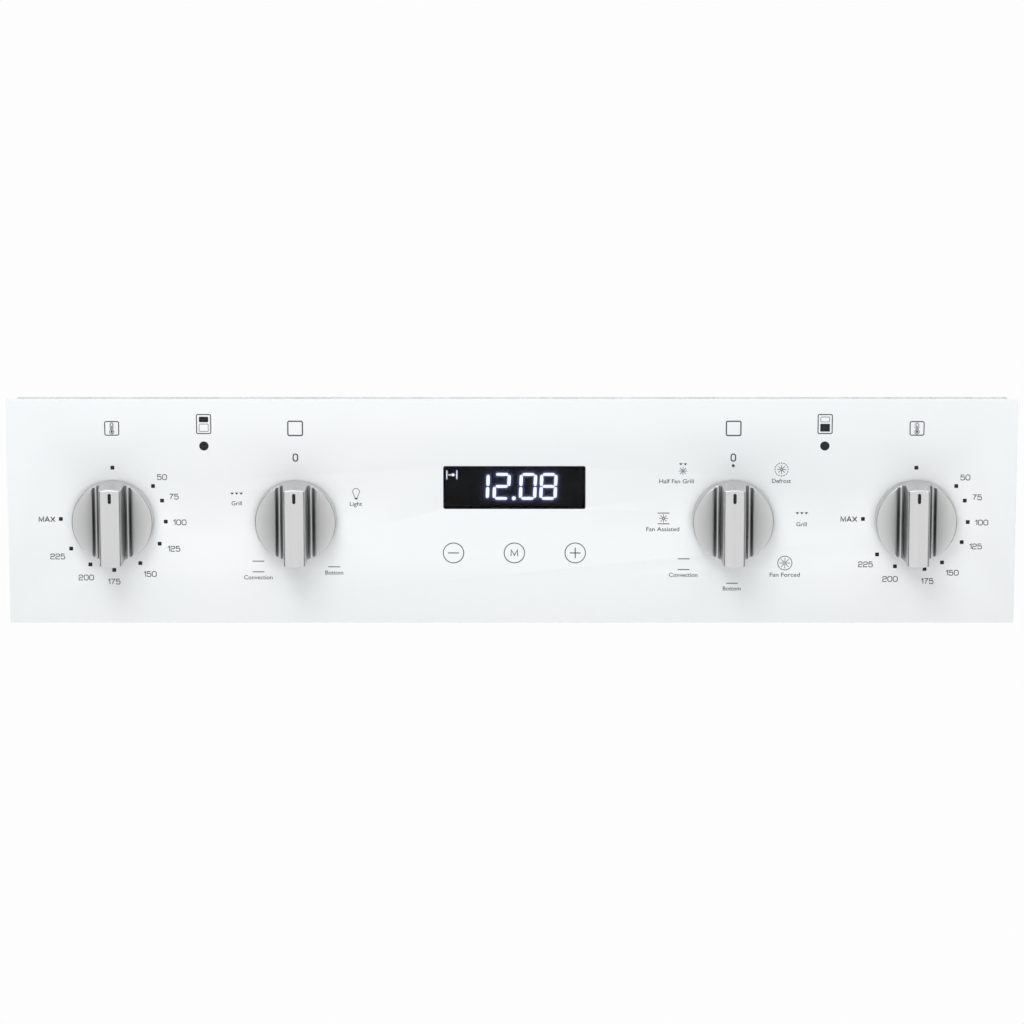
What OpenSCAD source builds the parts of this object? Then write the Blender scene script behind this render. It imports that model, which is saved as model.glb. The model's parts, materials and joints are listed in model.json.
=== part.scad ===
// Control panel of a built-in double oven: glass fascia, four rotary controls, clock and
// pilot lamps on a pressed steel carrier, with the switchgear that they work.
//
// Every module draws in panel coordinates: X to the right, Y up, Z out towards the user,
// with Z = 0 on the plane where the carrier meets the oven. upright() then stands the
// panel up, so that the finished part has +Z up and its front faces -Y.

/* [Fascia] */
// Width of the glass
fascia_w = 595; // [560:1:620]
// Height of the glass
fascia_h = 134.7; // [120:0.1:150]
// Thickness of the glass
glass_t = 4; // [3:0.5:6]
// Diameter of the holes in the glass, which the knobs cover
glass_hole_d = 40; // [40:0.5:42]

/* [Layout] */
// Distance from the layout's centre to each temperature control
outer_control_x = 236.9; // [232:0.1:244]
// Distance from the layout's centre to each function control
inner_control_x = 129; // [124:0.5:134]
// Distance from the layout's centre to each pilot lamp
lamp_x = 182.8; // [180:0.1:186]
// How far the whole layout sits to the right of the glass's centre
layout_shift = 1.4; // [0:0.1:2]
// Height of the control axes
control_y = -4.2; // [-10:0.1:-2]
// Height of the pilot lamps
lamp_y = 39; // [34:0.5:42]
// Height of the display's centre
display_y = 14.8; // [12:0.1:16]
// Height of the touch keys
touch_y = -24.8; // [-27:0.1:-23]
// Distance between touch keys
touch_pitch = 36; // [32:0.5:38]

/* [Knobs] */
// Diameter of the knob at its foot
knob_d = 47.9; // [46:0.1:50]
// Height of the knob's bar above its foot
knob_h = 26; // [21:0.5:30]
// Height of the flat wings beside the bar
wing_h = 8.9; // [8:0.1:10]
// Width of the bar's flat face
bar_face_w = 10.4; // [9:0.2:11]
// Gap between the glass and the knob
knob_gap = 1.2; // [1:0.1:2]

/* [Carrier] */
// Depth of the steel carrier
carrier_depth = 24; // [24:0.5:26]
// Thickness of the carrier's sheet
sheet_t = 1.2; // [1:0.1:1.5]
// How far the carrier is set in from the glass's edge
carrier_inset = 4; // [3:0.5:6]
// Width of the lips that rest on the oven
lip_w = 12; // [11:0.5:14]
// Horizontal distance between the rear screw holes
rear_hole_dx = 540; // [500:5:550]
// Vertical distance between the rear screw holes
rear_hole_dy = 114; // [113:0.5:114]
// Vertical distance between the side screw holes
side_hole_dy = 80; // [60:1:90]

/* [Hidden] */
$fn = 64;
eps = 0.01;
tape_t = 1;
wall_back = carrier_depth - sheet_t;       // rear face of the carrier's front wall
glass_back = carrier_depth + tape_t;
glass_front = glass_back + glass_t;
knob_foot = glass_front + knob_gap;
knob_front = knob_foot + knob_h;
carrier_w = fascia_w - 2 * carrier_inset;
carrier_h = fascia_h - 2 * carrier_inset;

// Fixing that all four controls share
fixing_dx = 14;                            // half the distance between the M4 screws
plate_w = 38;
plate_t = 1.2;
leg_t = 1.2;
leg_w = 20;
leg_end = 8.6;
plate_back = wall_back - plate_t;
boss_h = 3;
body_front = plate_back - boss_h;          // front face of every control's housing
body_half = 18;                            // half the housings' height
nose_end = carrier_depth + 0.6;
front_wall_t = 3;
chamber_front = body_front - front_wall_t; // inside face of the housings' front wall
spindle_r = 3;
bearing_r = spindle_r + 0.05;
collar_r = 4.5;
collar_t = 1.5;
collar_front = chamber_front - 0.1;
spindle_tip = knob_foot + 12.8;

// Knob section, measured from the foot
bar_edge_r = 1.2;
bar_side_top = bar_face_w / 2 + bar_edge_r;
bar_side_foot = bar_side_top + 0.6;
groove_r = 2.6;
groove_x = bar_side_foot + groove_r;
groove_z = wing_h + 0.9;
knob_draft = 0.6;
pointer_w = 2;
pointer_l = 6.2;
pointer_y = 18.1;
pointer_depth = 0.4;
hub_r = 21.4;
hub_t = 2.3;

// Thermostats
thermostat_w = 34;
thermostat_back = body_front - 15;
thermostat_wall = 2.5;
cover_t = 1;
ear_w = 12;
cover_back = thermostat_back - cover_t;
diaphragm_r = 10;
diaphragm_back = thermostat_back + 1.4;
diaphragm_t = 2.4;
stem_end = -1.5;
lever_z = 9.2;
tab_w = 6.3;
tab_t = 0.8;
tab_x = 9;
tab_z = 6;
tab_out = 27;
coil_r = 25;
coil_back = -14;
tube_r = 0.75;
tube_z = -4;
phial_r = 2;
phial_l = 84;
phial_y = 54;                              // above the control's axis
phial_z = 14;

// Selector switches
selector_w = 36;
detent_back = body_front - 10;
wafer_t = 8;
stack_gap = 0.05;                          // keeps stacked mouldings apart
cam_r = 9;
detent_r = 1.4;
detent_z = 11.5;
cam_bore_r = 10.5;
cap_t = 2.5;
tie_xy = 14.5;
selector_tab_y = 8;
selector_tab_out = 26;

// Clock module
clock_w = 104;
clock_h = 66;
clock_y = -2;
clock_wall = 2;
clock_fit = 0.3;
flange_w = 118;
flange_h = 76;
flange_t = 2;
clock_split = 12;
clock_back = -10;
display_w = 84.4;
display_h = 25.2;
lens_w = display_w + 3.6;
lens_h = display_h + 3.6;
lens_t = 0.8;
module_w = 83;                             // lit module behind the lens
module_h = 24.4;
board_w = 98;
board_h = 60;
board_t = 1.6;
display_board_z = 14.8;
power_board_z = 4;
pillar_x = 45.5;
pillar_y = 26.5;
pillar_r = 2.5;

// Pilot lamps
lamp_r = 4.3;
lamp_back = 8;
lead_r = 0.8;

TEMPERATURE_X = [-outer_control_x + layout_shift, outer_control_x + layout_shift];
FUNCTION_X = [-inner_control_x + layout_shift, inner_control_x + layout_shift];
CONTROL_X = concat(TEMPERATURE_X, FUNCTION_X);
LAMP_X = [-lamp_x + layout_shift, lamp_x + layout_shift];
WAFERS = [2, 3];
POSITIONS = [5, 8];

// Helpers

module upright() rotate([90, 0, 0]) children();

module at_control(x) translate([x, control_y, 0]) children();

// Box centred in X and Y, from z0 up to z1
module slab(w, h, z0, z1) translate([-w / 2, -h / 2, z0]) cube([w, h, z1 - z0]);

// Disc from z0 up to z1
module disc(r, z0, z1) translate([0, 0, z0]) cylinder(r = r, h = z1 - z0);

// Slot with round ends, l long overall, along Y
module slot(w, l, z0, z1) {
    slab(w, l - w, z0, z1);
    for (s = [-1, 1]) translate([0, s * (l - w) / 2, 0]) disc(w / 2, z0, z1);
}

function arc(cx, cy, r, from, to, steps) = [
    for (i = [0:steps]) let (a = from + (to - from) * i / steps)
        [cx + r * cos(a), cy + r * sin(a)]
];

function mirrored(points) = [
    for (i = [len(points) - 1:-1:0]) [-points[i][0], points[i][1]]
];

function unit(v) = v / norm(v);

// Catmull-Rom point between b and c
function spline(a, b, c, d, t) =
    0.5 * (2 * b + (c - a) * t + (2 * a - 5 * b + 4 * c - d) * t * t
        + (3 * b - a - 3 * c + d) * t * t * t);

function smooth_path(p, steps) = concat([
    for (i = [0:len(p) - 2]) for (k = [0:steps - 1])
        spline(p[max(i - 1, 0)], p[i], p[i + 1], p[min(i + 2, len(p) - 1)], k / steps)
], [p[len(p) - 1]]);

// Round tube along a path, with rings that keep their roll against a fixed side direction
module tube(path, r, sides, side_hint) {
    n = len(path);
    rings = [
        for (i = [0:n - 1]) let (
            along = unit(path[min(i + 1, n - 1)] - path[max(i - 1, 0)]),
            u = unit(cross(along, side_hint)),
            v = cross(along, u)
        ) for (k = [0:sides - 1]) let (a = 360 * k / sides)
            path[i] + r * (cos(a) * u + sin(a) * v)
    ];
    walls = [
        for (i = [0:n - 2]) for (k = [0:sides - 1]) let (
            a = i * sides + k,
            b = i * sides + (k + 1) % sides
        ) [a, a + sides, b + sides, b]
    ];
    first = [for (k = [0:sides - 1]) k];
    last = [for (k = [sides - 1:-1:0]) (n - 1) * sides + k];
    polyhedron(points = rings, faces = concat(walls, [first, last]));
}

// Fascia and carrier

module fascia_glass() color("white") upright() difference() {
    slab(fascia_w, fascia_h, glass_back, glass_front);
    for (x = CONTROL_X) at_control(x) disc(glass_hole_d / 2, glass_back - 1, glass_front + 1);
}

module display_lens() color("black") upright()
    translate([layout_shift, display_y, 0])
        slab(lens_w, lens_h, glass_back - lens_t, glass_back);

module carrier_shell() {
    inner_w = carrier_w - 2 * sheet_t;
    inner_h = carrier_h - 2 * sheet_t;
    difference() {
        slab(carrier_w, carrier_h, 0, carrier_depth);
        slab(inner_w, inner_h, sheet_t, wall_back);
        slab(carrier_w - 2 * lip_w, carrier_h - 2 * lip_w, -1, sheet_t + 1);
    }
    for (s = [-1, 1]) translate([s * (carrier_w - sheet_t) / 2, 0, 0])
        slab(sheet_t, side_hole_dy + 20, -18, carrier_depth);
}

module carrier_tray() color("gainsboro") upright() difference() {
    carrier_shell();
    for (x = CONTROL_X) at_control(x) {
        disc(7, wall_back - 1, carrier_depth + 1);
        for (s = [-1, 1]) translate([s * fixing_dx, 0, 0])
            disc(2.2, wall_back - 1, carrier_depth + 1);
    }
    for (x = LAMP_X) translate([x, lamp_y, 0]) disc(lamp_r + 0.1, wall_back - 1, carrier_depth + 1);
    translate([layout_shift, clock_y, 0])
        slab(clock_w + 2 * clock_fit, clock_h + 2 * clock_fit, wall_back - 1, carrier_depth + 1);
    clock_screw_places() disc(1.5, wall_back - 1, carrier_depth + 1);
    for (sx = [-1, 1], sy = [-1, 1]) translate([sx * rear_hole_dx / 2, sy * rear_hole_dy / 2, 0])
        disc(1.65, -1, sheet_t + 1);
    for (sx = [-1, 1], sy = [-1, 1])
        translate([sx * carrier_w / 2, sy * side_hole_dy / 2, -9]) rotate([0, 90, 0])
            cylinder(r = 2.25, h = 6, center = true);
    // Cooling slots along the top flange
    for (i = [-5:5]) translate([i * 48 - 12, carrier_h / 2 - 3, 9]) cube([24, 6, 5]);
}

module bonding_tape() color("dimgray") upright() {
    for (s = [-1, 1]) translate([0, s * (carrier_h / 2 - 5), 0])
        slab(carrier_w - 16, 7, carrier_depth, glass_back);
    for (x = [-66, 68, -282, 282]) translate([x, 0, 0])
        slab(7, carrier_h - 20, carrier_depth, glass_back);
}

module hole_grommets() color("silver") upright() for (x = CONTROL_X) at_control(x)
    rotate_extrude() difference() {
        union() {
            translate([glass_hole_d / 2 - 1.5, glass_back]) square([1.4, glass_t + 0.6]);
            translate([glass_hole_d / 2 - 1.5, glass_front]) square([3, 0.6]);
        }
    }

// Fixing shared by the controls

module control_plates() color("lightsteelblue") upright() for (x = CONTROL_X) at_control(x)
    difference() {
        union() {
            slab(plate_w, 2 * (body_half + leg_t), plate_back, wall_back);
            for (s = [-1, 1]) translate([0, s * (body_half + leg_t / 2), 0])
                slab(leg_w, leg_t, leg_end, plate_back + eps);
        }
        disc(5.1, plate_back - 1, wall_back + 1);
        for (s = [-1, 1]) translate([s * fixing_dx, 0, 0]) disc(2, plate_back - 1, wall_back + 1);
    }

module pan_head_screw(shank_r, head_r, head_h, length) {
    difference() {
        disc(head_r, 0, head_h);
        for (a = [0, 90]) rotate(a) slab(head_r, 0.9, head_h - 1, head_h + 1);
    }
    disc(shank_r, -length, eps);
}

module control_screws() color("silver") upright()
    for (x = CONTROL_X) at_control(x) for (s = [-1, 1])
        translate([s * fixing_dx, 0, carrier_depth]) pan_head_screw(1.95, 3.5, 2.4, 4);

// Front wall's boss and nose, which carry the spindle and locate the plate
module bearing_nose() {
    disc(8, body_front - eps, plate_back);
    disc(5, plate_back - eps, nose_end);
}

// Clock module

module at_clock() translate([layout_shift, clock_y, 0]) children();

module clock_screw_places() at_clock() for (sx = [-1, 1], sy = [-1, 1])
    translate([sx * (flange_w / 2 - 3.2), sy * (flange_h / 2 - 6), 0]) children();

module touch_places() for (i = [-1:1])
    translate([layout_shift + i * touch_pitch, touch_y, 0]) children();

// Pillars that hold the two boards
module board_pillars(z0, z1) at_clock() for (sx = [-1, 1], sy = [-1, 1])
    translate([sx * pillar_x, sy * pillar_y, 0]) disc(pillar_r, z0, z1);

module clock_frame() color("dimgray") upright() difference() {
    union() {
        board_pillars(display_board_z + board_t, glass_back - 2 + eps);
        at_clock() difference() {
            slab(clock_w, clock_h, clock_split, glass_back);
            slab(clock_w - 2 * clock_wall, clock_h - 2 * clock_wall, clock_split - 1, glass_back - 2);
        }
        at_clock() difference() {
            slab(flange_w, flange_h, wall_back - flange_t, wall_back);
            slab(clock_w - eps, clock_h - eps, 0, wall_back + 1);
        }
    }
    translate([layout_shift, display_y, 0]) {
        slab(module_w + 0.6, module_h + 0.6, glass_back - 3, glass_back + 1);
        slab(lens_w + 0.4, lens_h + 0.4, glass_back - lens_t, glass_back + 1);
    }
    touch_places() disc(6, glass_back - 3, glass_back + 1);
    clock_screw_places() disc(1.6, wall_back - 5, wall_back + 1);
}

module clock_rear_cover() color("dimgray") upright() {
    clock_rear_shell();
    board_pillars(clock_back + clock_wall - eps, power_board_z);
}

module clock_rear_shell() at_clock() difference() {
    slab(clock_w, clock_h, clock_back, clock_split);
    slab(clock_w - 2 * clock_wall, clock_h - 2 * clock_wall, clock_back + clock_wall, clock_split + 1);
    // Vents in the rear wall
    for (i = [-6:6]) translate([i * 7 + 2, 12, 0]) slot(3, 26, clock_back - 1, clock_back + 3);
    // Way out for the terminals
    translate([0, -clock_h / 2, 0]) slab(66, 10, -7, 5);
}

module clock_screws() color("silver") upright() clock_screw_places()
    translate([0, 0, wall_back - flange_t]) mirror([0, 0, 1])
        pan_head_screw(1.45, 2.8, 1.8, 3);

module display_board() color("darkgreen") upright() at_clock() {
    slab(board_w, board_h, display_board_z, display_board_z + board_t);
    translate([-38, -22, 0]) slab(18, 5, power_board_z + board_t, display_board_z + eps);
}

module led_display() color("black") upright() translate([layout_shift, display_y, 0])
    slab(module_w, module_h, display_board_z + board_t, glass_back - lens_t);

module touch_springs() color("gold") upright() touch_places() {
    z0 = display_board_z + board_t;
    height = glass_back - z0;
    turns = 5;
    tube([
        for (i = [0:turns * 12]) let (a = 30 * i)
            [4.2 * cos(a), 4.2 * sin(a), z0 + 0.35 + (height - 0.7) * i / (turns * 12)]
    ], 0.35, 6, [0, 0, 1]);
}

module power_board() color("darkgreen") upright() at_clock()
    slab(board_w, board_h, power_board_z, power_board_z + board_t);

module transformer() color("khaki") upright() at_clock() translate([-28, 9, 0]) {
    slab(30, 26, power_board_z - 11, power_board_z);
    slab(34, 14, power_board_z - 9, power_board_z - 2);
}

module relays() color("royalblue") upright() at_clock() for (x = [6, 28])
    translate([x, 14, 0]) slab(19, 15.5, power_board_z - 11, power_board_z);

module capacitors() color("slategray") upright() at_clock() for (p = [[3, -8], [15, -8]])
    translate(p) disc(4.5, power_board_z - 11, power_board_z);

module buzzer() color("black") upright() at_clock() translate([34, -8, 0]) difference() {
    disc(6.5, power_board_z - 8, power_board_z);
    disc(1.2, power_board_z - 9, power_board_z - 6);
}

module clock_terminals() color("ivory") upright() at_clock() {
    translate([0, -25, 0]) slab(60, 10, power_board_z - 9, power_board_z);
    for (i = [-2:2]) translate([i * 11, -37, -1]) slab(tab_w, 16, -tab_t / 2, tab_t / 2);
}

// Pilot lamps

module pilot_lamp(x) upright() translate([x, lamp_y, 0]) {
    disc(lamp_r, lamp_back, glass_back);
    disc(6, wall_back - 2, wall_back);
    for (s = [-1, 1]) translate([s * 2, 0, 0]) disc(0.6, lamp_back - 3, lamp_back + eps);
}

module upper_pilot_lamp() color("orange") pilot_lamp(LAMP_X[0]);
module main_pilot_lamp() color("orange") pilot_lamp(LAMP_X[1]);

// Push-on receptacle that a tab slides into along +Y
module receptacle() difference() {
    slab(8, 12, -1.6, 1.6);
    slab(tab_w + 0.2, 13, -tab_t / 2 - 0.1, tab_t / 2 + 0.1);
}

// Two leads of one lamp: one to the thermostat's load tab, one to the selector beside it.
// side is +1 where the thermostat lies to the left of the lamp, -1 where it lies to the right.
module lamp_leads(x, thermostat_x, selector_x, side) upright() {
    lamp = [x, lamp_y, lamp_back - 3];
    load_tab = [thermostat_x + side * tab_x, control_y - tab_out - 3.2, tab_z + tab_t / 2];
    link_tab = [selector_x - side * (selector_tab_out + 3.2), control_y + selector_tab_y,
        detent_back - wafer_t / 2];
    translate(load_tab + [0, 5, 0]) receptacle();
    translate(link_tab + [side * 5, 0, 0]) rotate(-90) receptacle();
    load_route = [
        lamp + [-side * 2, 0, 0],
        lamp + [-side * 2, 0, -4],
        lamp + [-side * 5, -12, -6],
        lamp + [-side * 9, -40, -2],
        lamp + [-side * 14, -66, 2],
        [x - side * 26, control_y - 44, 6],
        [(x + load_tab[0]) / 2 - side * 6, control_y - 49, 6],
        load_tab + [side * 2, -12, 0],
        load_tab + [0, -6, 0],
        load_tab + [0, -1, 0]
    ];
    link_route = [
        lamp + [side * 2, 0, 0],
        lamp + [side * 2, 0, -4],
        lamp + [side * 5, -10, -6],
        lamp + [side * 7, -24, -4],
        link_tab + [-side * 12, -4, 1],
        link_tab + [-side * 6, 0, 0],
        link_tab + [-side * 1, 0, 0]
    ];
    tube(smooth_path(load_route, 4), lead_r, 8, [1, 0.2, 0.1]);
    tube(smooth_path(link_route, 4), lead_r, 8, [0.1, 0.2, 1]);
}

module upper_lamp_leads() color("firebrick")
    lamp_leads(LAMP_X[0], TEMPERATURE_X[0], FUNCTION_X[0], 1);
module main_lamp_leads() color("firebrick")
    lamp_leads(LAMP_X[1], TEMPERATURE_X[1], FUNCTION_X[1], -1);

// Thermostats

module thermostat_housing(x) upright() at_control(x) difference() {
    union() {
        slab(thermostat_w, 2 * body_half, thermostat_back, body_front);
        bearing_nose();
    }
    slab(thermostat_w - 2 * thermostat_wall, 2 * (body_half - thermostat_wall),
        thermostat_back - 1, chamber_front);
    disc(bearing_r, chamber_front - 1, nose_end + 1);
    for (s = [-1, 1]) translate([s * tab_x, -body_half, 0])
        slab(tab_w + 0.2, 8, tab_z - 0.1, tab_z + tab_t + 0.1);
}

module upper_thermostat_housing() color("antiquewhite") thermostat_housing(TEMPERATURE_X[0]);
module main_thermostat_housing() color("antiquewhite") thermostat_housing(TEMPERATURE_X[1]);

module thermostat_cover(x) upright() at_control(x) difference() {
    union() {
        slab(thermostat_w, 2 * body_half, cover_back, thermostat_back);
        slab(thermostat_w + 2 * cover_t, ear_w, cover_back, thermostat_back);
        for (s = [-1, 1]) translate([s * (thermostat_w + cover_t) / 2, 0, 0])
            slab(cover_t, ear_w, cover_back, body_front - 4);
    }
    disc(1.8, cover_back - 1, thermostat_back + 1);
}

module upper_thermostat_cover() color("silver") thermostat_cover(TEMPERATURE_X[0]);
module main_thermostat_cover() color("silver") thermostat_cover(TEMPERATURE_X[1]);

// The moving contact hangs from the left tab; the right tab carries the fixed contact.
module thermostat_terminals(x) upright() at_control(x) {
    inner_y = body_half - thermostat_wall - 0.2;
    for (s = [-1, 1]) translate([s * tab_x - tab_w / 2, -tab_out, tab_z])
        cube([tab_w, tab_out - inner_y + 3, tab_t]);
    translate([-tab_x, -inner_y, tab_z]) cube([tab_x + 2.5, 3, tab_t]);
    translate([11.4, -inner_y, tab_z]) cube([2.8, 2 * inner_y, tab_t]);
    translate([-2, inner_y - 4, tab_z]) cube([16.2, 4, tab_t]);
    translate([0, inner_y - 2, 0]) disc(1.5, tab_z + tab_t - eps, lever_z - 1.2);
}

module upper_thermostat_terminals() color("gold") thermostat_terminals(TEMPERATURE_X[0]);
module main_thermostat_terminals() color("gold") thermostat_terminals(TEMPERATURE_X[1]);

module thermostat_levers() color("peru") upright() for (x = TEMPERATURE_X) at_control(x) {
    inner_y = body_half - thermostat_wall - 0.2;
    slab(5, 2 * inner_y, lever_z, lever_z + 0.5);
    translate([0, 1.5 - inner_y, 0]) slab(5, 3, tab_z + tab_t, lever_z + eps);
    translate([0, inner_y - 2, 0]) disc(1.5, lever_z - 1, lever_z + eps);
}

module thermostat_diaphragms() color("goldenrod") upright() for (x = TEMPERATURE_X)
    at_control(x) rotate_extrude() polygon(concat(
        [[0, stem_end], [1.6, stem_end], [1.6, thermostat_back], [4, thermostat_back],
            [4, diaphragm_back]],
        [[diaphragm_r, diaphragm_back + 0.9], [diaphragm_r, diaphragm_back + 1.5]],
        [[4, diaphragm_back + diaphragm_t], [1.2, diaphragm_back + diaphragm_t],
            [1.2, lever_z - 0.2], [0, lever_z - 0.2]]
    ));

// Capillary tube wound behind the thermostat, and its phial along the top of the carrier
module capillary(x) upright() at_control(x) {
    disc(1, tube_z - 1, stem_end);
    translate([0, 0, tube_z]) rotate([0, 90, 0]) cylinder(r = tube_r, h = coil_r);
    rotate_extrude() translate([coil_r - tube_r, coil_back]) square([2 * tube_r, tube_z + 0.6 - coil_back]);
    translate([-coil_r, 0, coil_back + 1]) rotate([-90, 0, 0]) cylinder(r = tube_r, h = phial_y);
    translate([-coil_r, phial_y, coil_back + 1]) sphere(tube_r);
    translate([-coil_r, phial_y, coil_back + 1]) cylinder(r = tube_r, h = phial_z - coil_back - 1);
    translate([-coil_r, phial_y, phial_z]) rotate([0, 90, 0]) cylinder(r = phial_r, h = phial_l);
}

module upper_capillary() color("peru") capillary(TEMPERATURE_X[0]);
module main_capillary() color("peru") mirrored_capillary();

// The main oven's phial lies towards the middle, clear of the carrier's end
module mirrored_capillary() translate([2 * TEMPERATURE_X[1], 0, 0]) mirror([1, 0, 0])
    capillary(TEMPERATURE_X[1]);

module phial_clips() color("dimgray") upright() for (i = [0, 1]) at_control(TEMPERATURE_X[i])
    for (dx = [14, 46]) translate([(i == 0 ? 1 : -1) * (dx - coil_r), phial_y, 0]) difference() {
        union() {
            slab(6, 8, phial_z - 1, wall_back);
        }
        translate([0, 0, phial_z]) rotate([0, 90, 0])
            cylinder(r = phial_r + 0.05, h = 8, center = true);
        slab(8, 3, phial_z - 4, phial_z);
    }

// Selector switches

module tie_places() for (sx = [-1, 1], sy = [-1, 1]) translate([sx * tie_xy, sy * tie_xy, 0])
    children();

module selector_housing(i) upright() at_control(FUNCTION_X[i]) difference() {
    union() {
        slab(selector_w, 2 * body_half, detent_back, body_front);
        bearing_nose();
    }
    disc(12.5, detent_back - 1, chamber_front);
    disc(bearing_r, chamber_front - 1, nose_end + 1);
    tie_places() disc(1.3, detent_back - 1, detent_back + 6);
    detent_axis() cylinder(r = detent_r + 0.05, h = body_half + 1);
}

// Line that the detent's ball and spring lie on, just above the wheel's rim
module detent_axis() translate([0, 0, detent_z]) rotate([-90, 0, 0]) children();

module selector_detents() color("silver") upright() for (i = [0, 1])
    at_control(FUNCTION_X[i]) detent_axis() {
        translate([0, 0, 12.1]) sphere(detent_r);
        translate([0, 0, 13.4]) cylinder(r = detent_r - 0.2, h = 3);
        translate([0, 0, 16.4]) cylinder(r = detent_r, h = body_half - 16.4);
    }

module upper_selector_housing() color("whitesmoke") selector_housing(0);
module main_selector_housing() color("whitesmoke") selector_housing(1);

function wafer_back(k) = detent_back - (k + 1) * wafer_t;

module selector_wafers(i) upright() at_control(FUNCTION_X[i]) for (k = [0:WAFERS[i] - 1]) {
    z0 = wafer_back(k);
    z1 = z0 + wafer_t;
    difference() {
        slab(selector_w, 2 * body_half, z0, z1 - stack_gap);
        disc(cam_bore_r, z0 - 1, z1 + 1);
        for (s = [-1, 1]) translate([s * 11.2, 0, 0]) slab(4.6, 25, z0 + 1.5, z1 + 1);
        for (sx = [-1, 1], sy = [-1, 1])
            translate([sx * 15, sy * selector_tab_y, (z0 + z1) / 2])
                slab(9, tab_w + 0.2, -tab_t / 2 - 0.1, tab_t / 2 + 0.1);
        tie_places() disc(1.7, z0 - 1, z1 + 1);
    }
}

module upper_selector_wafers() color("whitesmoke") selector_wafers(0);
module main_selector_wafers() color("whitesmoke") selector_wafers(1);

// Leaves that the cams press, drawn just clear of the lobes
module selector_contacts(i) upright() at_control(FUNCTION_X[i]) for (k = [0:WAFERS[i] - 1])
    for (s = [-1, 1]) translate([0, 0, wafer_back(k) + wafer_t / 2]) {
        translate([s * 10.6, 0, 0]) slab(0.4, 23, -1.5, 1.5);
        translate([s * 10.4, 0, 0]) difference() {
            disc(0.9, -1.5, 1.5);
            translate([s * 2.2, 0, 0]) slab(4, 4, -2, 2);
        }
    }

module upper_selector_contacts() color("goldenrod") selector_contacts(0);
module main_selector_contacts() color("goldenrod") selector_contacts(1);

module selector_terminals(i) upright() at_control(FUNCTION_X[i]) for (k = [0:WAFERS[i] - 1])
    for (sx = [-1, 1], sy = [-1, 1])
        translate([sx * (10.8 + selector_tab_out) / 2, sy * selector_tab_y,
            wafer_back(k) + wafer_t / 2])
            slab(selector_tab_out - 10.8, tab_w, -tab_t / 2, tab_t / 2);

module upper_selector_terminals() color("gold") selector_terminals(0);
module main_selector_terminals() color("gold") selector_terminals(1);

module selector_rear_cap(i) upright() at_control(FUNCTION_X[i]) {
    z1 = wafer_back(WAFERS[i] - 1);
    difference() {
        slab(selector_w, 2 * body_half, z1 - cap_t, z1 - stack_gap);
        disc(bearing_r, z1 - cap_t - 1, z1 + 1);
        tie_places() disc(1.7, z1 - cap_t - 1, z1 + 1);
    }
}

module upper_selector_rear_cap() color("lightgray") selector_rear_cap(0);
module main_selector_rear_cap() color("lightgray") selector_rear_cap(1);

module selector_tie_screws() color("silver") upright() for (i = [0, 1])
    at_control(FUNCTION_X[i]) tie_places()
        translate([0, 0, wafer_back(WAFERS[i] - 1) - cap_t]) mirror([0, 0, 1])
            pan_head_screw(1.25, 2.6, 1.6, WAFERS[i] * wafer_t + cap_t + 5);

// Knobs and spindles

// Half section across the bar, from the foot to the top centre
KNOB_HALF = concat(
    [[knob_d / 2 + 1, 0], [knob_d / 2 + 1, wing_h]],
    arc(groove_x, groove_z, groove_r, -20, -180, 10),
    [[bar_side_top, knob_h - bar_edge_r]],
    arc(bar_face_w / 2, knob_h - bar_edge_r, bar_edge_r, 0, 90, 4)
);

module knob_body() intersection() {
    rotate([90, 0, 0]) linear_extrude(height = knob_d + 2, center = true)
        polygon(concat(KNOB_HALF, mirrored(KNOB_HALF)));
    cylinder(r1 = knob_d / 2, r2 = knob_d / 2 - knob_draft, h = knob_h);
}

module knob(x) upright() at_control(x) translate([0, 0, knob_foot]) difference() {
    knob_body();
    disc(hub_r + 0.1, -1, hub_t);
    difference() {
        disc(20, 0, 5);
        disc(8.5, -1, 6);
    }
    disc(7.1, -1, 6.5);
    disc(4.5, 0, 15);
    translate([0, pointer_y, 0]) slot(pointer_w, pointer_l, knob_h - pointer_depth, knob_h + 1);
}

module upper_temperature_knob() color("silver") knob(TEMPERATURE_X[0]);
module main_temperature_knob() color("silver") knob(TEMPERATURE_X[1]);
module upper_function_knob() color("silver") knob(FUNCTION_X[0]);
module main_function_knob() color("silver") knob(FUNCTION_X[1]);

// Flat side of the D-shaped spindle and of the hub's bore
module d_flat(r) translate([0, r / 2 + 5, 0]) slab(12, 10, -60, 60);

module knob_hub(x) upright() at_control(x) translate([0, 0, knob_foot]) difference() {
    union() {
        disc(hub_r, 0, hub_t);
        disc(7, -3.2, 6.3);
        disc(4.4, 6, 14.8);
    }
    difference() {
        disc(spindle_r + 0.03, -4, 13);
        d_flat(spindle_r + 0.06);
    }
}

module upper_temperature_hub() color("black") knob_hub(TEMPERATURE_X[0]);
module main_temperature_hub() color("black") knob_hub(TEMPERATURE_X[1]);
module upper_function_hub() color("black") knob_hub(FUNCTION_X[0]);
module main_function_hub() color("black") knob_hub(FUNCTION_X[1]);

module spindle(back) {
    difference() {
        disc(spindle_r, back, spindle_tip);
        intersection() {
            d_flat(spindle_r);
            disc(5, knob_foot - 4, spindle_tip + 1);
        }
    }
    disc(collar_r, collar_front - collar_t, collar_front);
}

// The thermostat's spindle ends in the screw that sets the lever
module temperature_spindle(x) upright() at_control(x) {
    spindle(collar_front - collar_t);
    disc(2.4, lever_z + 0.7, collar_front - collar_t + eps);
}

module upper_temperature_spindle() color("silver") temperature_spindle(TEMPERATURE_X[0]);
module main_temperature_spindle() color("silver") temperature_spindle(TEMPERATURE_X[1]);

module function_spindle(i) upright() at_control(FUNCTION_X[i])
    spindle(wafer_back(WAFERS[i] - 1) - cap_t - 0.8);

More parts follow.
